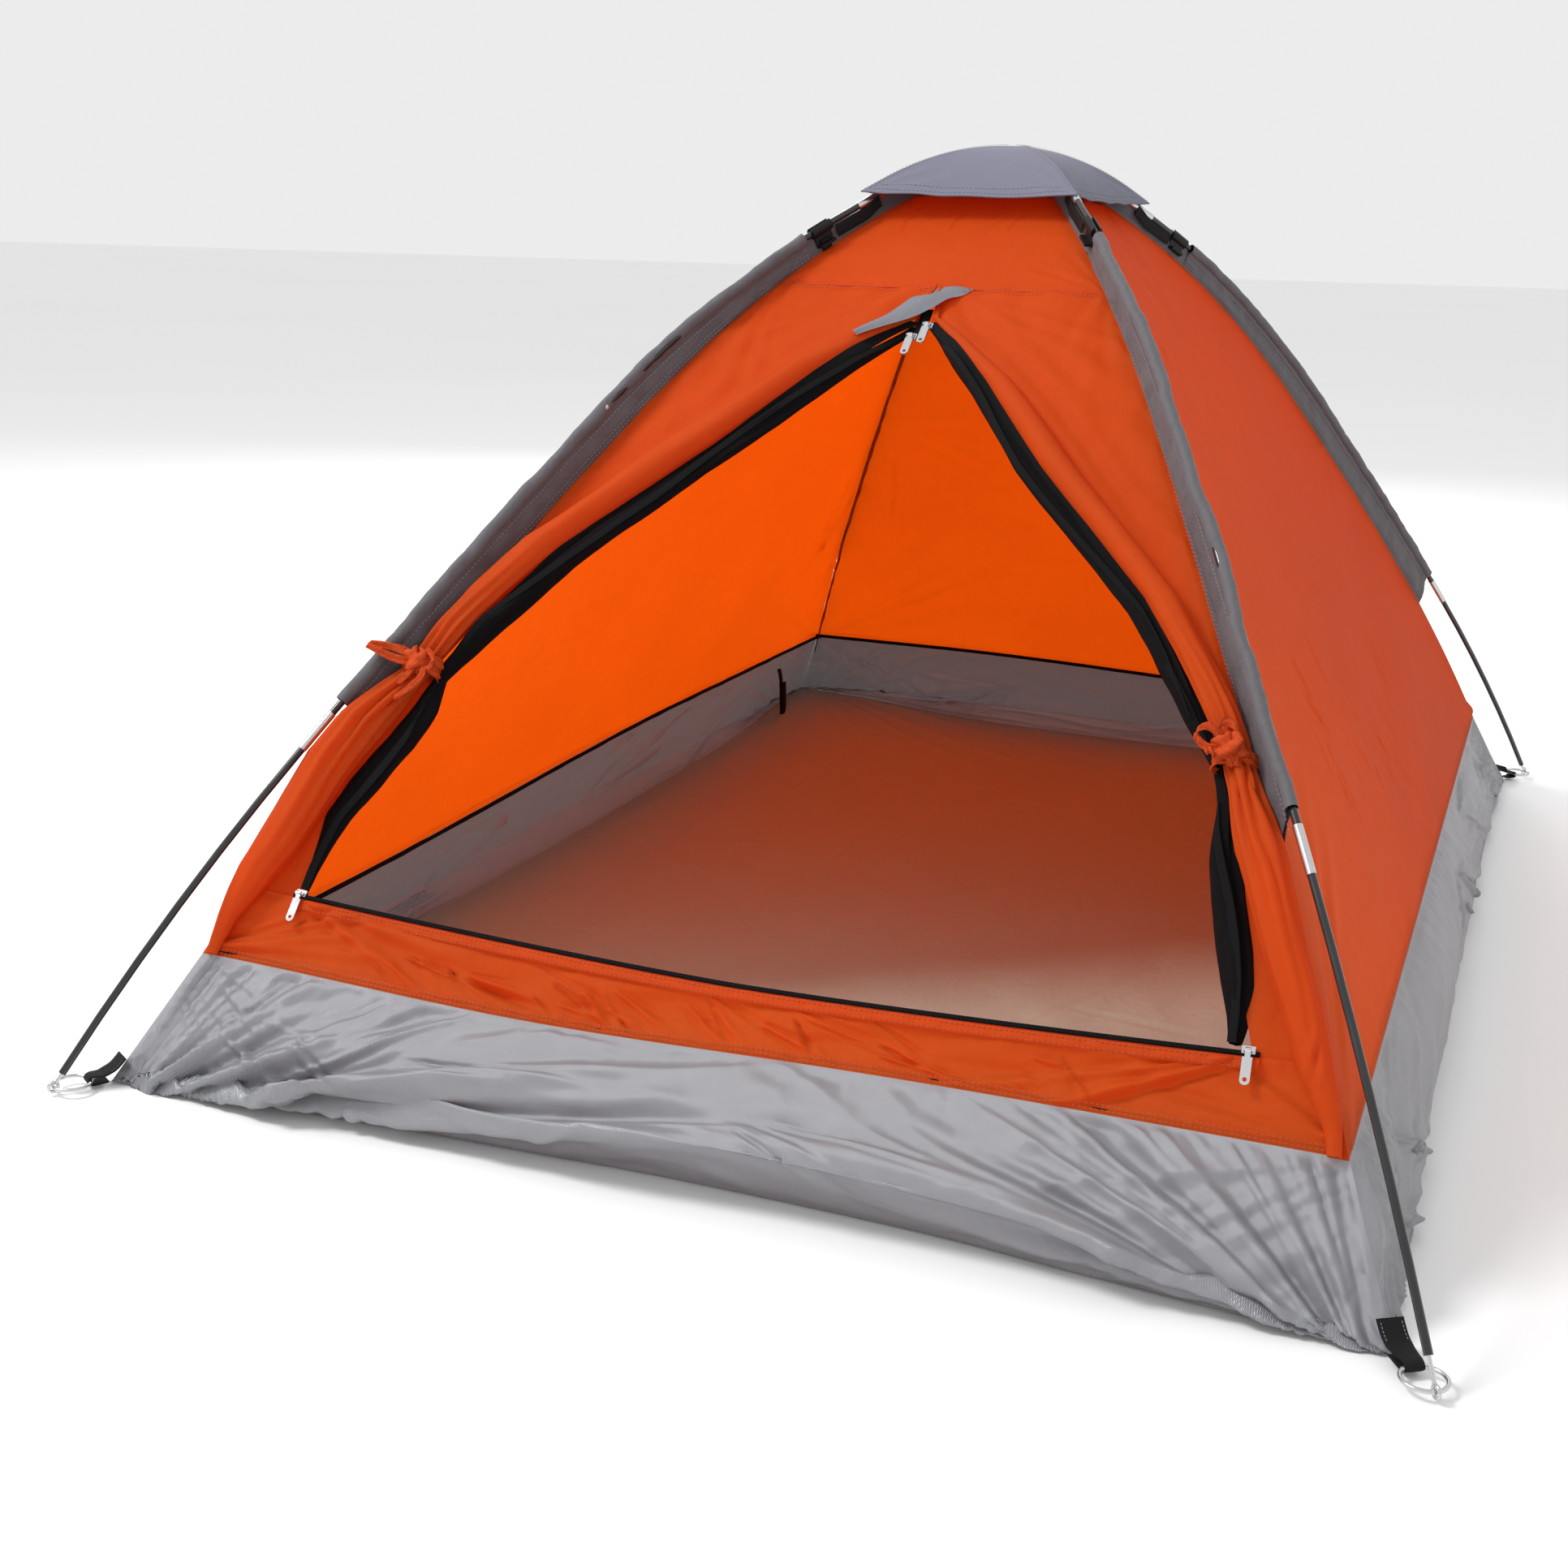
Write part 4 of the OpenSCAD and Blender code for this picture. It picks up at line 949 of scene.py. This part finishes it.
def floor_sheet():
    u = np.linspace(-1, 1, 200)[None, :]
    w = np.linspace(1, -1, 300)[:, None]
    tuck_x = np.where(u > 0, foot_inset(w, "right"), -foot_inset(-w, "left"))
    tuck_y = np.where(w > 0, foot_inset(-u, "back"), -foot_inset(u, "front"))
    x = u * FLOOR_W / 2 - tuck_x * np.abs(u) ** 3
    y = w * FLOOR_D / 2 - tuck_y * np.abs(w) ** 3
    wave = 0.0030 * fbm(x / 0.24, y / 0.35, 801, 2)
    wave = wave + 0.0011 * fbm(x / 0.05 + y / 0.3, y / 0.11, 805, 2)
    for k, (sx, sy) in enumerate(CORNERS):
        wave += fan(x * sx, -y * sy, FLOOR_W / 2, -FLOOR_D / 2, (98, 170), 6, 0.8, 0.016, 0.0030,
                    810 + k)
    spots = [(x0, y0, 4, 0.12) for x0 in (-0.45, -0.15, 0.2, 0.48)
             for y0 in (-0.8, -0.45, 0.0, 0.5)]
    wave += creases(x, y, spots, 40, 90, 0.26, 0.0075, 0.0022, 820)
    edge = np.minimum(1 - np.abs(u), (1 - np.abs(w)) * FLOOR_D / FLOOR_W) * FLOOR_W / 2
    z = CLOTH_LOW + (wave + 0.0055) * smooth(edge / 0.05)
    points = np.stack([x, y, np.maximum(z, 0.0012) + pulled_up(x, y)], -1)
    cloth("floor_sheet", points, "floor", replaces=["floor"])


# ---- Sleeves --------------------------------------------------------------------------------
def sleeves():
    """Pole sleeves: two layers from the corner seam round the pole, and the bare strip above."""
    rows = 300
    stitch_lines = []
    for i, name in enumerate(CORNER_NAMES):
        side, _ = corner_side(i)
        s = np.linspace(SLEEVE_START, SLEEVE_END, rows)
        radius = (TUNNEL_D / 2 * (1 + 0.05 * noise(s / 0.05, s * 0, 900 + i)))[:, None]
        f = np.linspace(0, 1, 18)[None]
        angle = np.linspace(-0.90 * np.pi, 0.90 * np.pi, 34)
        deep = np.concatenate([1 - f[0], 0 * angle, f[0]])
        slant = smooth((s - SLEEVE_END + 0.09) / 0.09)[:, None]
        s_all = s[:, None] + (0.024 * deep[None] - 0.004) * slant
        reach, z, _ = along(POLE, s_all)
        seam_reach, seam_z, _ = along(SEAM, s_all)
        centre = corner_point(i, reach, z + CORNER_LIFTS[i])
        away = centre - corner_point(i, seam_reach, seam_z)
        gap = np.linalg.norm(away, axis=2)
        away = away / gap[..., None]
        flange = (gap[:, :18] + 0.0015) * (1 - f) + (TUNNEL_D / 2 + 0.0008) * f
        y_round, x_round = 0.92 * radius * np.sin(angle), radius * np.cos(angle)
        thick = 0.0008 + 0.0010 * np.sin(np.pi * f) + 0.0014 * smooth((f - 0.85) / 0.15)
        fold = 0.0018 * fbm(s[:, None] / 0.030, flange / 0.030, 910 + i, 2)
        fold += 0.0026 * fbm(s[:, None] / 0.14, flange / 0.10, 915 + i, 2)
        fold = fold * smooth(f / 0.3)
        shift = fold[:, -1:]
        x_all = np.concatenate([-flange, x_round, -flange[:, ::-1]], 1)
        y_all = np.concatenate([-thick + fold, y_round + shift, (thick + fold)[:, ::-1]], 1)
        points = centre + away * x_all[..., None] + side[None, None] * y_all[..., None]
        ripple = 0.0006 * fbm(s[:, None] / 0.018, np.arange(x_all.shape[1])[None] / 9.0, 920 + i, 2)
        cloth("sleeve_sheet_" + name, points, "sleeve", ripple,
              replaces=["sleeve_" + name])
        centre, away, gap = centre[:, 0], away[:, 0], gap[:, 0]
        for face in (-1, 1):
            for depth in (TUNNEL_D / 2 + 0.0035 + 0 * gap, gap - 0.004, gap - 0.008):
                line = centre - away * depth[:, None] + side[None] * face * 0.0034
                stitch_lines.append((line, np.broadcast_to(side * face, line.shape)))
        # the same cloth goes on up to the cap's edge, beside the bare pole
        s = np.linspace(CLIP_AT - 0.168, SLEEVE_START + 0.004, 40)
        reach, z, _ = along(POLE, s)
        seam_reach, seam_z, _ = along(SEAM, s)
        centre = corner_point(i, reach, z + CORNER_LIFTS[i])
        root = corner_point(i, seam_reach, seam_z)
        away = centre - root
        gap = np.linalg.norm(away, axis=1)[:, None, None]
        f = np.linspace(-0.06, 1, 16)[None, :, None]
        points = root[:, None] + away[:, None] * f * (gap - ROD_D / 2 - 0.0004) / gap
        wave = 0.0010 * fbm(s[:, None] / 0.03, f[..., 0] * 2, 930 + i, 2) * smooth(f[..., 0] / 0.3)
        points = points + side[None, None] * wave[..., None]
        cloth("sleeve_top_" + name, points, "sleeve")
    stitches("sleeve_stitches", stitch_lines, "thread_grey")


# ---- Cap ------------------------------------------------------------------------------------
def cap_corner(i, s, lift):
    reach, z, h = along(POLE, s)
    return corner_point(i, reach + lift * np.sin(h), z + lift * np.cos(h))


CAP_S = CAP_R / math.cos(math.radians(TURNS[0]) / 2)


def cap_panels():
    """Four panels sewn on the ridges over the poles, each a sheet from the top to its edge."""
    rho = np.linspace(0.0, 1.0, 60)
    t = np.linspace(0, 1, 90)
    lift = FERRULE_D + ROD_D / 2 + 0.0018
    rows = []
    for k, side in enumerate(SIDES):
        a, b = (cap_corner(i, rho * CAP_S, lift) for i in (k, (k + 1) % 4))
        dip = np.sin(np.pi * t)[None, :]
        sink = 0.006 * dip * (rho[:, None] ** 3)
        points = between(a, b, t) - WALLS[side][0] * sink[..., None]
        points[..., 2] -= 0.004 * dip * rho[:, None] ** 1.5
        x = (t[None] - 0.5) * np.linalg.norm(b - a, axis=1)[:, None]
        d = rho[:, None] * CAP_S + 0 * x
        wave = 0.0016 * fbm(x / 0.08, d / 0.14, 1000 + k, 2) * rho[:, None] ** 2
        gathers = np.sin(x / 0.014 + 2.0 * noise(x / 0.1, d / 0.1, 1010 + k))
        wave += 0.0007 * gathers * smooth((rho[:, None] - 0.85) / 0.15)
        for sign in (-1, 1):
            wave += fan(x * sign, d, -x[-1, -1], CAP_S, (-72, -14), 3, 0.16, 0.010, 0.0012,
                        1020 + k)
        wave = wave * smooth(dip / 0.25)
        cloth("cap_" + side, points, "cap", wave, body="cap",
              replaces=["cap"] if k == 0 else ())
        n = normals(points)
        moved = points + n * wave[..., None]
        for j in (-3, -6):
            rows.append((moved[j, 2:-2] + n[j, 2:-2] * 0.0006, n[j, 2:-2]))
        for ridge, first, inner in ((a, 0, 3), (b, -1, -4)):
            inward = points[:, inner] - points[:, first]
            inward = inward / np.maximum(np.linalg.norm(inward, axis=1, keepdims=True), 1e-6)
            rows.append((ridge[3:] + UP * 0.0008 + inward[3:] * 0.004, n[3:, inner]))
        # a turned hem: a narrow strip under the edge
        hem = np.stack([moved[-1], moved[-1] - n[-1] * 0.0016, moved[-6] - n[-6] * 0.0014])
        cloth("cap_hem_" + side, hem, "cap", body="cap")
    stitches("cap_stitches", rows, "thread_grey", body="cap")


def cap_tapes():
    """Tapes from the cap's corners down beside the poles to the clips."""
    s = np.linspace(CAP_S - 0.020, CLIP_AT - CLIP_LEN / 2 - 0.004, 30)
    reach, z, h = along(POLE, s)
    down = ROD_D / 2 + 0.0075 - 0.006 * smooth((CAP_S + 0.010 - s) / 0.03)
    for i, facing in enumerate((1, -1, -1, 1)):
        up = corner_up(i, h)
        beside = corner_side(i)[0] * facing * BESIDE_ROD
        line = corner_point(i, reach, z + CORNER_LIFTS[i]) - up * down[:, None] + beside
        ribbon("cap_tape_" + CORNER_NAMES[i], line, up, 0.014, 0.0011, "webbing", body="cap",
               replaces=["cap_tapes"] if i == 0 else ())


def roof_mesh():
    """Mesh over the vent: four panels under the cap, sewn to the walls' top edges."""
    rho = np.linspace(0.02, 1, 26) * (CLOTH_TOP + 0.02)
    t = np.linspace(0, 1, 40)
    reach, z, _ = along(SEAM, rho)
    for k, side in enumerate(SIDES):
        points = between(corner_point(k, reach, z), corner_point((k + 1) % 4, reach, z), t)
        points[..., 2] -= 0.002
        lift = -0.004 * np.sin(np.pi * t)[None] * smooth(rho / 0.1)[:, None]
        cloth("roof_mesh_" + side, points, "mesh", lift,
              replaces=["roof_mesh"] if k == 0 else ())


# ---- Door: mesh bundles, ties, flap and zips ------------------------------------------------
# Mesh bundles: height, inner edge right and left of the doorway, radius right and left
MESH = np.array([
    (0.196, 0.476, 0.491, 0.006, 0.004), (0.215, 0.471, 0.486, 0.011, 0.007),
    (0.240, 0.460, 0.478, 0.0165, 0.011), (0.265, 0.451, 0.467, 0.0185, 0.0180),
    (0.300, 0.440, 0.444, 0.0190, 0.0235), (0.340, 0.431, 0.422, 0.0175, 0.0220),
    (0.375, 0.426, 0.413, 0.0120, 0.0160), (0.402, 0.418, 0.414, 0.0080, 0.0090),
    (0.418, 0.404, 0.402, 0.0095, 0.0145), (0.450, 0.371, 0.370, 0.0135, 0.0215),
    (0.520, 0.303, 0.303, 0.0160, 0.0195), (0.640, 0.156, 0.156, 0.0145, 0.0170),
    (0.740, 0.050, 0.050, 0.0095, 0.0095), (0.782, 0.006, 0.006, 0.0035, 0.0035)]).T


def mesh_bundles():
    """The inner door's leaves: rolled sheets whose cross-section is a crumpled spiral."""
    s = np.linspace(float(seam_s(0.780)), float(seam_s(0.196)), 220)
    _, z, _ = along(SEAM, s)
    off_wall = 0.010 * smooth((z - 0.42) / 0.04) * smooth((0.78 - z) / 0.05)
    angle = np.linspace(0, 1, 70)[None] * 2.1 * 2 * np.pi
    for sign, name in ((-1, "left"), (1, "right")):
        radius = np.interp(z, MESH[0], MESH[3 if sign > 0 else 4])
        centre = np.interp(z, MESH[0], MESH[1 if sign > 0 else 2]) + radius
        centre = centre + 0.0015 * noise(s / 0.06, s * 0, 1100 + sign)
        lift = -0.006 + 0.0025 * noise(s / 0.08, s * 0 + 5, 1105 + sign) + off_wall
        seed = 1110 + sign
        lobes = (1 + 0.22 * noise(angle / 0.8, s[:, None] / 0.09, seed)
                 + 0.10 * np.sin(3 * angle + 14 * s[:, None]))
        r = radius[:, None] * (1 - 0.62 * np.linspace(0, 1, 70)[None]) * lobes
        x = centre[:, None] - r * np.sin(angle)
        points = wall_point("front", sign * x, s[:, None], lift[:, None] + r * np.cos(angle) * 0.72)
        fine = 0.0009 * fbm(angle / 0.35, s[:, None] / 0.05, seed + 5, 2)
        cloth("mesh_door_" + name, points[:, ::sign], "mesh", fine,
              replaces=["mesh_roll_" + name])
        # the zip tape along the mesh door's free edge, folded in with the bundle
        edge_x = centre - radius * (0.45 + 0.35 * np.sin(s / 0.055 + sign))
        line = wall_point("front", sign * edge_x, s, lift + radius * 0.70 + 0.001)
        across = wall_point("front", sign * (edge_x + 0.01), s, lift + radius * 0.70 + 0.004) - line
        for part, use in (("low", z < WAIST_Z - 0.03), ("high", z > WAIST_Z + 0.03)):
            taper = 0.002 + 0.007 * smooth((np.abs(z[use] - WAIST_Z) - 0.03) / 0.05)
            ribbon("mesh_zip_tape_" + name + "_" + part, line[use], across[use], taper, 0.0010,
                   "zip_tape")


def knot(name, centre, size, seed, material):
    """A tight lump of pulled cloth, with folds that run round it."""
    u = np.linspace(0, 2 * np.pi, 40, endpoint=False)[None, :]
    v = np.linspace(0.04, np.pi - 0.04, 26)[:, None]
    r = 1 + 0.20 * np.sin(3 * u + 4 * v) + 0.16 * fbm(u * 1.3 + 0 * v, v * 2.2 + 0 * u, seed, 3)
    points = np.stack([size[0] * r * np.sin(v) * np.cos(u), size[1] * r * np.sin(v) * np.sin(u),
                       size[2] * r * np.cos(v) + 0 * u], -1) + centre
    uvs = np.stack([u * size[0] + 0 * v, v * size[2] + 0 * u], -1)
    return new_object(name, points, tube_faces(*points.shape[:2]), material, uvs=uvs)


def curve_points(points, count):
    """A smooth line through a few points."""
    points = np.asarray(points, float)
    t = np.linspace(0, len(points) - 1, count)
    out = []
    for x in t:
        i = min(int(x), len(points) - 2)
        f = x - i
        p0, p1, p2, p3 = (points[min(max(i + k, 0), len(points) - 1)] for k in (-1, 0, 1, 2))
        out.append(0.5 * ((2 * p1) + (p2 - p0) * f + (2 * p0 - 5 * p1 + 4 * p2 - p3) * f**2
                          + (3 * p1 - p0 - 3 * p2 + p3) * f**3))
    return np.array(out)


# The ties' loose ends on each side: across, down from the waist, off the wall
TIE_ENDS = {
    1: (((0.430, -0.004, 0.030), (0.417, -0.018, 0.037), (0.406, -0.016, 0.041),
         (0.404, -0.005, 0.040), (0.415, 0.003, 0.036), (0.431, -0.001, 0.031)),
        ((0.431, -0.004, 0.029), (0.421, -0.022, 0.033), (0.427, -0.031, 0.031),
         (0.438, -0.022, 0.031), (0.437, -0.004, 0.029)),
        ((0.432, 0.000, 0.032), (0.425, 0.008, 0.037), (0.418, 0.010, 0.037),
         (0.415, 0.002, 0.036)),
        ((0.434, 0.002, 0.032), (0.441, 0.010, 0.034), (0.443, 0.017, 0.031))),
    -1: (((0.436, 0.002, 0.030), (0.450, -0.003, 0.038), (0.468, -0.001, 0.050),
          (0.482, 0.004, 0.058), (0.470, 0.008, 0.052), (0.454, 0.009, 0.040),
          (0.438, 0.006, 0.030)),
         ((0.432, 0.002, 0.030), (0.422, -0.006, 0.035), (0.413, 0.002, 0.035),
          (0.417, 0.012, 0.033), (0.431, 0.008, 0.030)),
         ((0.428, 0.008, 0.032), (0.419, 0.022, 0.036), (0.427, 0.038, 0.034),
          (0.446, 0.056, 0.030)),
         ((0.434, 0.010, 0.032), (0.436, 0.024, 0.036), (0.444, 0.038, 0.034))),
}
TIE_ROOT = ((0.4700, -0.001, 0.0010), (0.4620, 0.000, 0.0100), (0.4520, 0.002, 0.0230),
            (0.4380, 0.002, 0.0285))


def ties():
    """Each tie: two turns round the leaf's waist, its sewn end, a knot and loose ends."""
    waist = float(seam_s(WAIST_Z))
    for sign, name in ((-1, "left"), (1, "right")):
        def place(x, drop, lift):
            return wall_point("front", sign * x, waist + drop, lift)

        def fold(p, q):
            return 0.0012 * np.sin(q * 5 + p * 9) + 0.0010 * fbm(p * 11 + q, q * 2, 1200 + sign, 2)

        name = "door_tie_" + name
        down = place(0.42, 0.01, 0.0) - place(0.42, -0.01, 0.0)
        for k, (tilt, width) in enumerate(((0.005, 0.012), (-0.004, 0.010))):
            angle = np.linspace(0, 2 * np.pi, 44)
            line = np.array([place(0.4385 + 0.0205 * math.cos(t), 0.004 * k + tilt * math.cos(t),
                                   0.009 + 0.0160 * math.sin(t)) for t in angle])
            ribbon(name + ("_band", "_band_2")[k], line, down, width, 0.0016, "orange_tie",
                   replaces=[name] if k == 0 else (), wave=fold)
        # the tie's sewn end, from the corner seam over the roll
        line = curve_points([place(*p) for p in TIE_ROOT], 24)
        ribbon(name + "_root", line, down, 0.0125, 0.0014, "orange_tie", wave=fold)
        knot(name + "_knot", place(0.4335, 0.001 - 0.003 * sign, 0.0300),
             (0.0150, 0.0115, 0.0135), 1210 + sign, "orange_tie")
        for k, spots in enumerate(TIE_ENDS[sign]):
            line = curve_points([place(*p) for p in spots], 36)
            across = down / np.linalg.norm(down) if k < 2 else np.array([1.0, 0, 0])
            ribbon(f"{name}_end_{k}", line, across + (line - line[0]) * 6, 0.0100 - 0.001 * k,
                   0.0014, "orange_tie", wave=fold)


def flap():
    """Grey strip of cloth over the zip's top end, running down the left leaf's edge."""
    spine = ((0.022, 0.8212), (0.008, 0.809), (-0.008, 0.796), (-0.026, 0.782), (-0.046, 0.768),
             (-0.066, 0.755))
    widths = (0.046, 0.036, 0.028, 0.023, 0.017, 0.009)
    xz = curve_points([(x, z, w) for (x, z), w in zip(spine, widths)], 40)
    q = np.linspace(-0.5, 0.5, 12)[None]
    x = xz[:, :1] + q * xz[:, 2:] * 0.92
    z = xz[:, 1:2] - q * xz[:, 2:] * 0.45 * smooth(np.linspace(0, 2.5, 40))[:, None]
    lift = 0.0118 + 0.001 * np.sin(np.linspace(0, np.pi, 40))[:, None]
    lift = lift - 0.0100 * smooth((z - 0.800) / 0.016)
    lift = lift + 0.0018 * np.cos(q * 5) + 0.0120 * smooth((0.788 - z) / 0.035)
    points = wall_point("front", x, seam_s(z), lift)
    cloth("zip_flap_sheet", points, "flap", replaces=["zip_flap"])


def zip_chain(name, line, ups):
    """Coil teeth of a zip along a line: two rows of short rounded bars that mesh."""
    pitch = 0.0020
    run = run_along(line)
    at = np.arange(pitch, run[-1] - pitch, pitch)
    mid = sample(at, run, line)
    fore = np.gradient(mid, axis=0)
    fore /= np.linalg.norm(fore, axis=1, keepdims=True)
    up = sample(at, run, ups)
    side = np.cross(fore, up)
    verts, faces = [], []
    for row, sign in enumerate((-1, 1)):
        start = row * len(mid) * 12
        centre = mid + fore * (row * pitch / 2)
        ring = []
        for x, h in ((-0.2, 0.0004), (0.5, 0.0016), (1.6, 0.0005)):
            for f, g in ((-0.42, 0), (-0.3, 1), (0.3, 1), (0.42, 0)):
                ring.append(centre + side * sign * x * 0.0012 + fore * f * pitch + up * h * g)
        verts.append(np.stack(ring, 1).reshape(-1, 3))
        for k in range(len(mid)):
            for r in range(2):
                for c in range(3):
                    b = start + k * 12 + r * 4 + c
                    faces.append([b, b + 1, b + 5, b + 4])
    return declare(new_object(name, np.concatenate(verts), faces, "teeth"), ())


def sill_zip():
    """The zip along the doorway's foot, and the sill's turned edge over its tape."""
    ends = SILL_X + 0.010
    x = np.linspace(-ends, ends, 300)
    s = zip_s(x)
    down = wall_point("front", x, s + 0.01) - wall_point("front", x, s)
    ribbon("sill_zip_tape", wall_point("front", x, s - 0.0024, 0.0010), down, 0.0048, 0.0008,
           "zip_tape", replaces=["sill_zip"])
    up = wall_up("front", x, s)
    zip_chain("sill_zip_teeth", wall_point("front", x, s - 0.0028, 0.0016), up)
    hem_lift = np.array([0.0012, 0.0026, 0.0030, 0.0030, 0.0030, 0.0030, 0.0026, 0.0012])[:, None]
    hem_lift = hem_lift + 0.0007 * noise(x[None] / 0.010, np.arange(8)[:, None] / 4.0, 1290)
    hem = wall_point("front", x[None], s[None] + np.linspace(0.0012, 0.0135, 8)[:, None], hem_lift)
    cloth("sill_hem", hem[:, ::-1], "orange")
    rows = [(wall_point("front", x[4:-4], s[4:-4] + drop, 0.0036), up[4:-4])
            for drop in (0.0040, 0.0115)]
    stitches("sill_stitches", rows, "thread")


def door_zip():
    """The upright zip's closed end, and its open halves along the rolled leaves' edges."""
    z = np.linspace(APEX_Z + 0.012, APEX_Z - 0.020, 20)
    line = wall_point("front", 0 * z, seam_s(z), 0.0012)
    ribbon("door_zip_tape", line, (1.0, 0, 0), 0.013, 0.0008, "zip_tape", replaces=["door_zip_end"])
    up = wall_up("front", 0 * z, seam_s(z))
    zip_chain("door_zip_teeth", line + up * 0.0005, up)
    z = np.linspace(APEX_Z - 0.002, TIE_Z + 0.030, 120)
    s = seam_s(z)
    off_wall = smooth((0.80 - z) / 0.06)
    for sign, name in ((-1, "left"), (1, "right")):
        x = np.interp(z, LEAVES[sign][0], LEAVES[sign][1]) - 0.0060
        lift = 0.010 * off_wall + 0.002 * noise(s / 0.05, s * 0, 1300 + sign)
        line = wall_point("front", sign * x, s, lift)
        across = wall_point("front", sign * (x + 0.006), s, 0.014 * off_wall) - line
        width = np.interp(z, (TIE_Z + 0.03, TIE_Z + 0.09), (0.003, 0.017))
        ribbon("door_zip_edge_" + name, line, across, width, 0.0010, "zip_tape")


def straps():
    """Webbing from the floor's corners round the rings, with two rows of stitching along each."""
    lines = []
    for i, name in enumerate(CORNER_NAMES):
        side, _ = corner_side(i)
        pin = PIN_OUT + CORNER_LIFTS[i] / math.sin(FOOT_HEADING)
        wire = HALF_DIAG + FOOT_GAP + pin * math.cos(FOOT_HEADING) - 2 * RING_R
        d = HALF_DIAG
        route = [(d - 0.014, 0.028), (d - 0.004, 0.0185), (d + 0.006, 0.0140),
                 (wire - 0.010, 0.0130), (wire, 0.0132), (wire + 0.0045, 0.0090),
                 (wire + 0.001, 0.0048), (wire - 0.008, 0.0046), (d + 0.004, 0.0052)]
        line = curve_points([corner_point(i, r, z) for r, z in route], 60)
        width = np.interp(np.linspace(0, 1, 60), (0, 0.25, 0.5, 1), (0.025, 0.024, 0.018, 0.018))
        ribbon("corner_strap_" + name, line, side, width, 0.0016, "webbing",
               replaces=["strap_" + name])
        ups = np.cross(np.gradient(line, axis=0), side)
        ups /= np.linalg.norm(ups, axis=1, keepdims=True)
        if ups[5, 2] < 0:
            ups = -ups
        for off in (-0.0095, 0.0095):
            lines.append((line[1:16] + side * off + ups[1:16] * 0.0009, ups[1:16]))
    stitches("strap_stitches", lines, "thread_grey", pitch=0.0034, length=0.0024, width=0.0008)


def clip_tapes():
    """Short tapes that hold the clips to the canopy's corner seams."""
    reach, z, h = along(POLE, CLIP_AT)
    for i, name in enumerate(CORNER_NAMES):
        side, out = corner_side(i)
        centre = corner_point(i, reach, z + CORNER_LIFTS[i])
        route = ((0.017, 0.0035), (0.012, 0.0044), (0.020, 0.0020),
                 (SLEEVE_TOP_W + CORNER_LIFTS[i] + 0.006, 0.0))
        line = curve_points([centre - corner_up(i, h) * x + side * y for x, y in route], 16)
        ribbon("clip_tape_" + name, line, out * math.cos(h) - UP * math.sin(h), 0.015, 0.0011,
               "webbing")


def seam_tapes():
    """Bound seams inside the canopy's corners and round the floor's seam."""
    foot = float(seam_s(TUB_H))
    reach, z, h = along(SEAM, np.linspace(CLOTH_TOP + 0.01, foot, 150))
    for i, name in enumerate(CORNER_NAMES):
        ribbon("corner_seam_" + name, corner_point(i, reach - 0.006, z - 0.004), corner_up(i, h),
               0.009, 0.0012, "seam_tape", wave=lambda p, q: 0.0012 * noise(p * 60 + q, q, 1400))
    for side, (out, across, out_u, across_u) in WALLS.items():
        half = across_u * float(along(SEAM, foot)[0]) - 0.008
        a = np.linspace(-half, half, 200)
        top_reach, top_z, _ = along(SEAM, foot_s(side, a))
        line = ((out_u * top_reach - 0.006)[:, None] * out[None] + a[:, None] * across[None]
                + top_z[:, None] * UP)
        ribbon("floor_seam_" + side, line, UP, 0.006, 0.0014, "zip_tape",
               wave=lambda p, q: 0.0008 * noise(p * 45, q, 1410))


def seam_stitching():
    """Double rows on the yoke seam and above the floor's seam."""
    rows = []

    def double_row(side, half, count, seam, drops, lift):
        a = np.linspace(-half, half, count)
        for drop in drops:
            s = seam(a) + drop
            rows.append((wall_point(side, a, s, lift), wall_up(side, a, s)))

    s = float(seam_s(YOKE_Z))
    double_row("front", float(half_width("front", s)) - 0.004, 90, level(s), (0.0035, 0.0085),
               0.0016)
    for side in WALLS:
        double_row(side, float(half_width(side, float(seam_s(TUB_H)))) - 0.008, 160,
                   lambda a, side=side: foot_s(side, a), (-0.0035, -0.0085), 0.0018)
    stitches("canopy_stitches", rows, "thread")


def inner_loop():
    """The small loop hanging near the back left corner."""
    lo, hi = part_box("inner_loop")
    x, y = (lo[0] + hi[0]) / 2, (lo[1] + hi[1]) / 2
    spots = [(x - 0.006, y + 0.004, hi[2]), (x, y, hi[2] - 0.02),
             (x + 0.004, y - 0.004, lo[2] + 0.012), (x + 0.006, y - 0.007, lo[2]),
             (x + 0.009, y - 0.004, lo[2] + 0.010), (x + 0.006, y + 0.001, hi[2] - 0.022)]
    ribbon("hanging_loop", curve_points(spots, 50), (0.3, 1.0, 0), 0.010, 0.0012, "webbing",
           replaces=["inner_loop"])


camera()
studio()
carry_over()
plain_walls()
yoke()
for door_side in (-1, 1):
    leaf(door_side)
    leaf_edge(door_side)
sill()
tub()
floor_sheet()
sleeves()
cap_panels()
cap_tapes()
roof_mesh()
mesh_bundles()
ties()
flap()
sill_zip()
door_zip()
straps()
clip_tapes()
seam_tapes()
seam_stitching()
inner_loop()
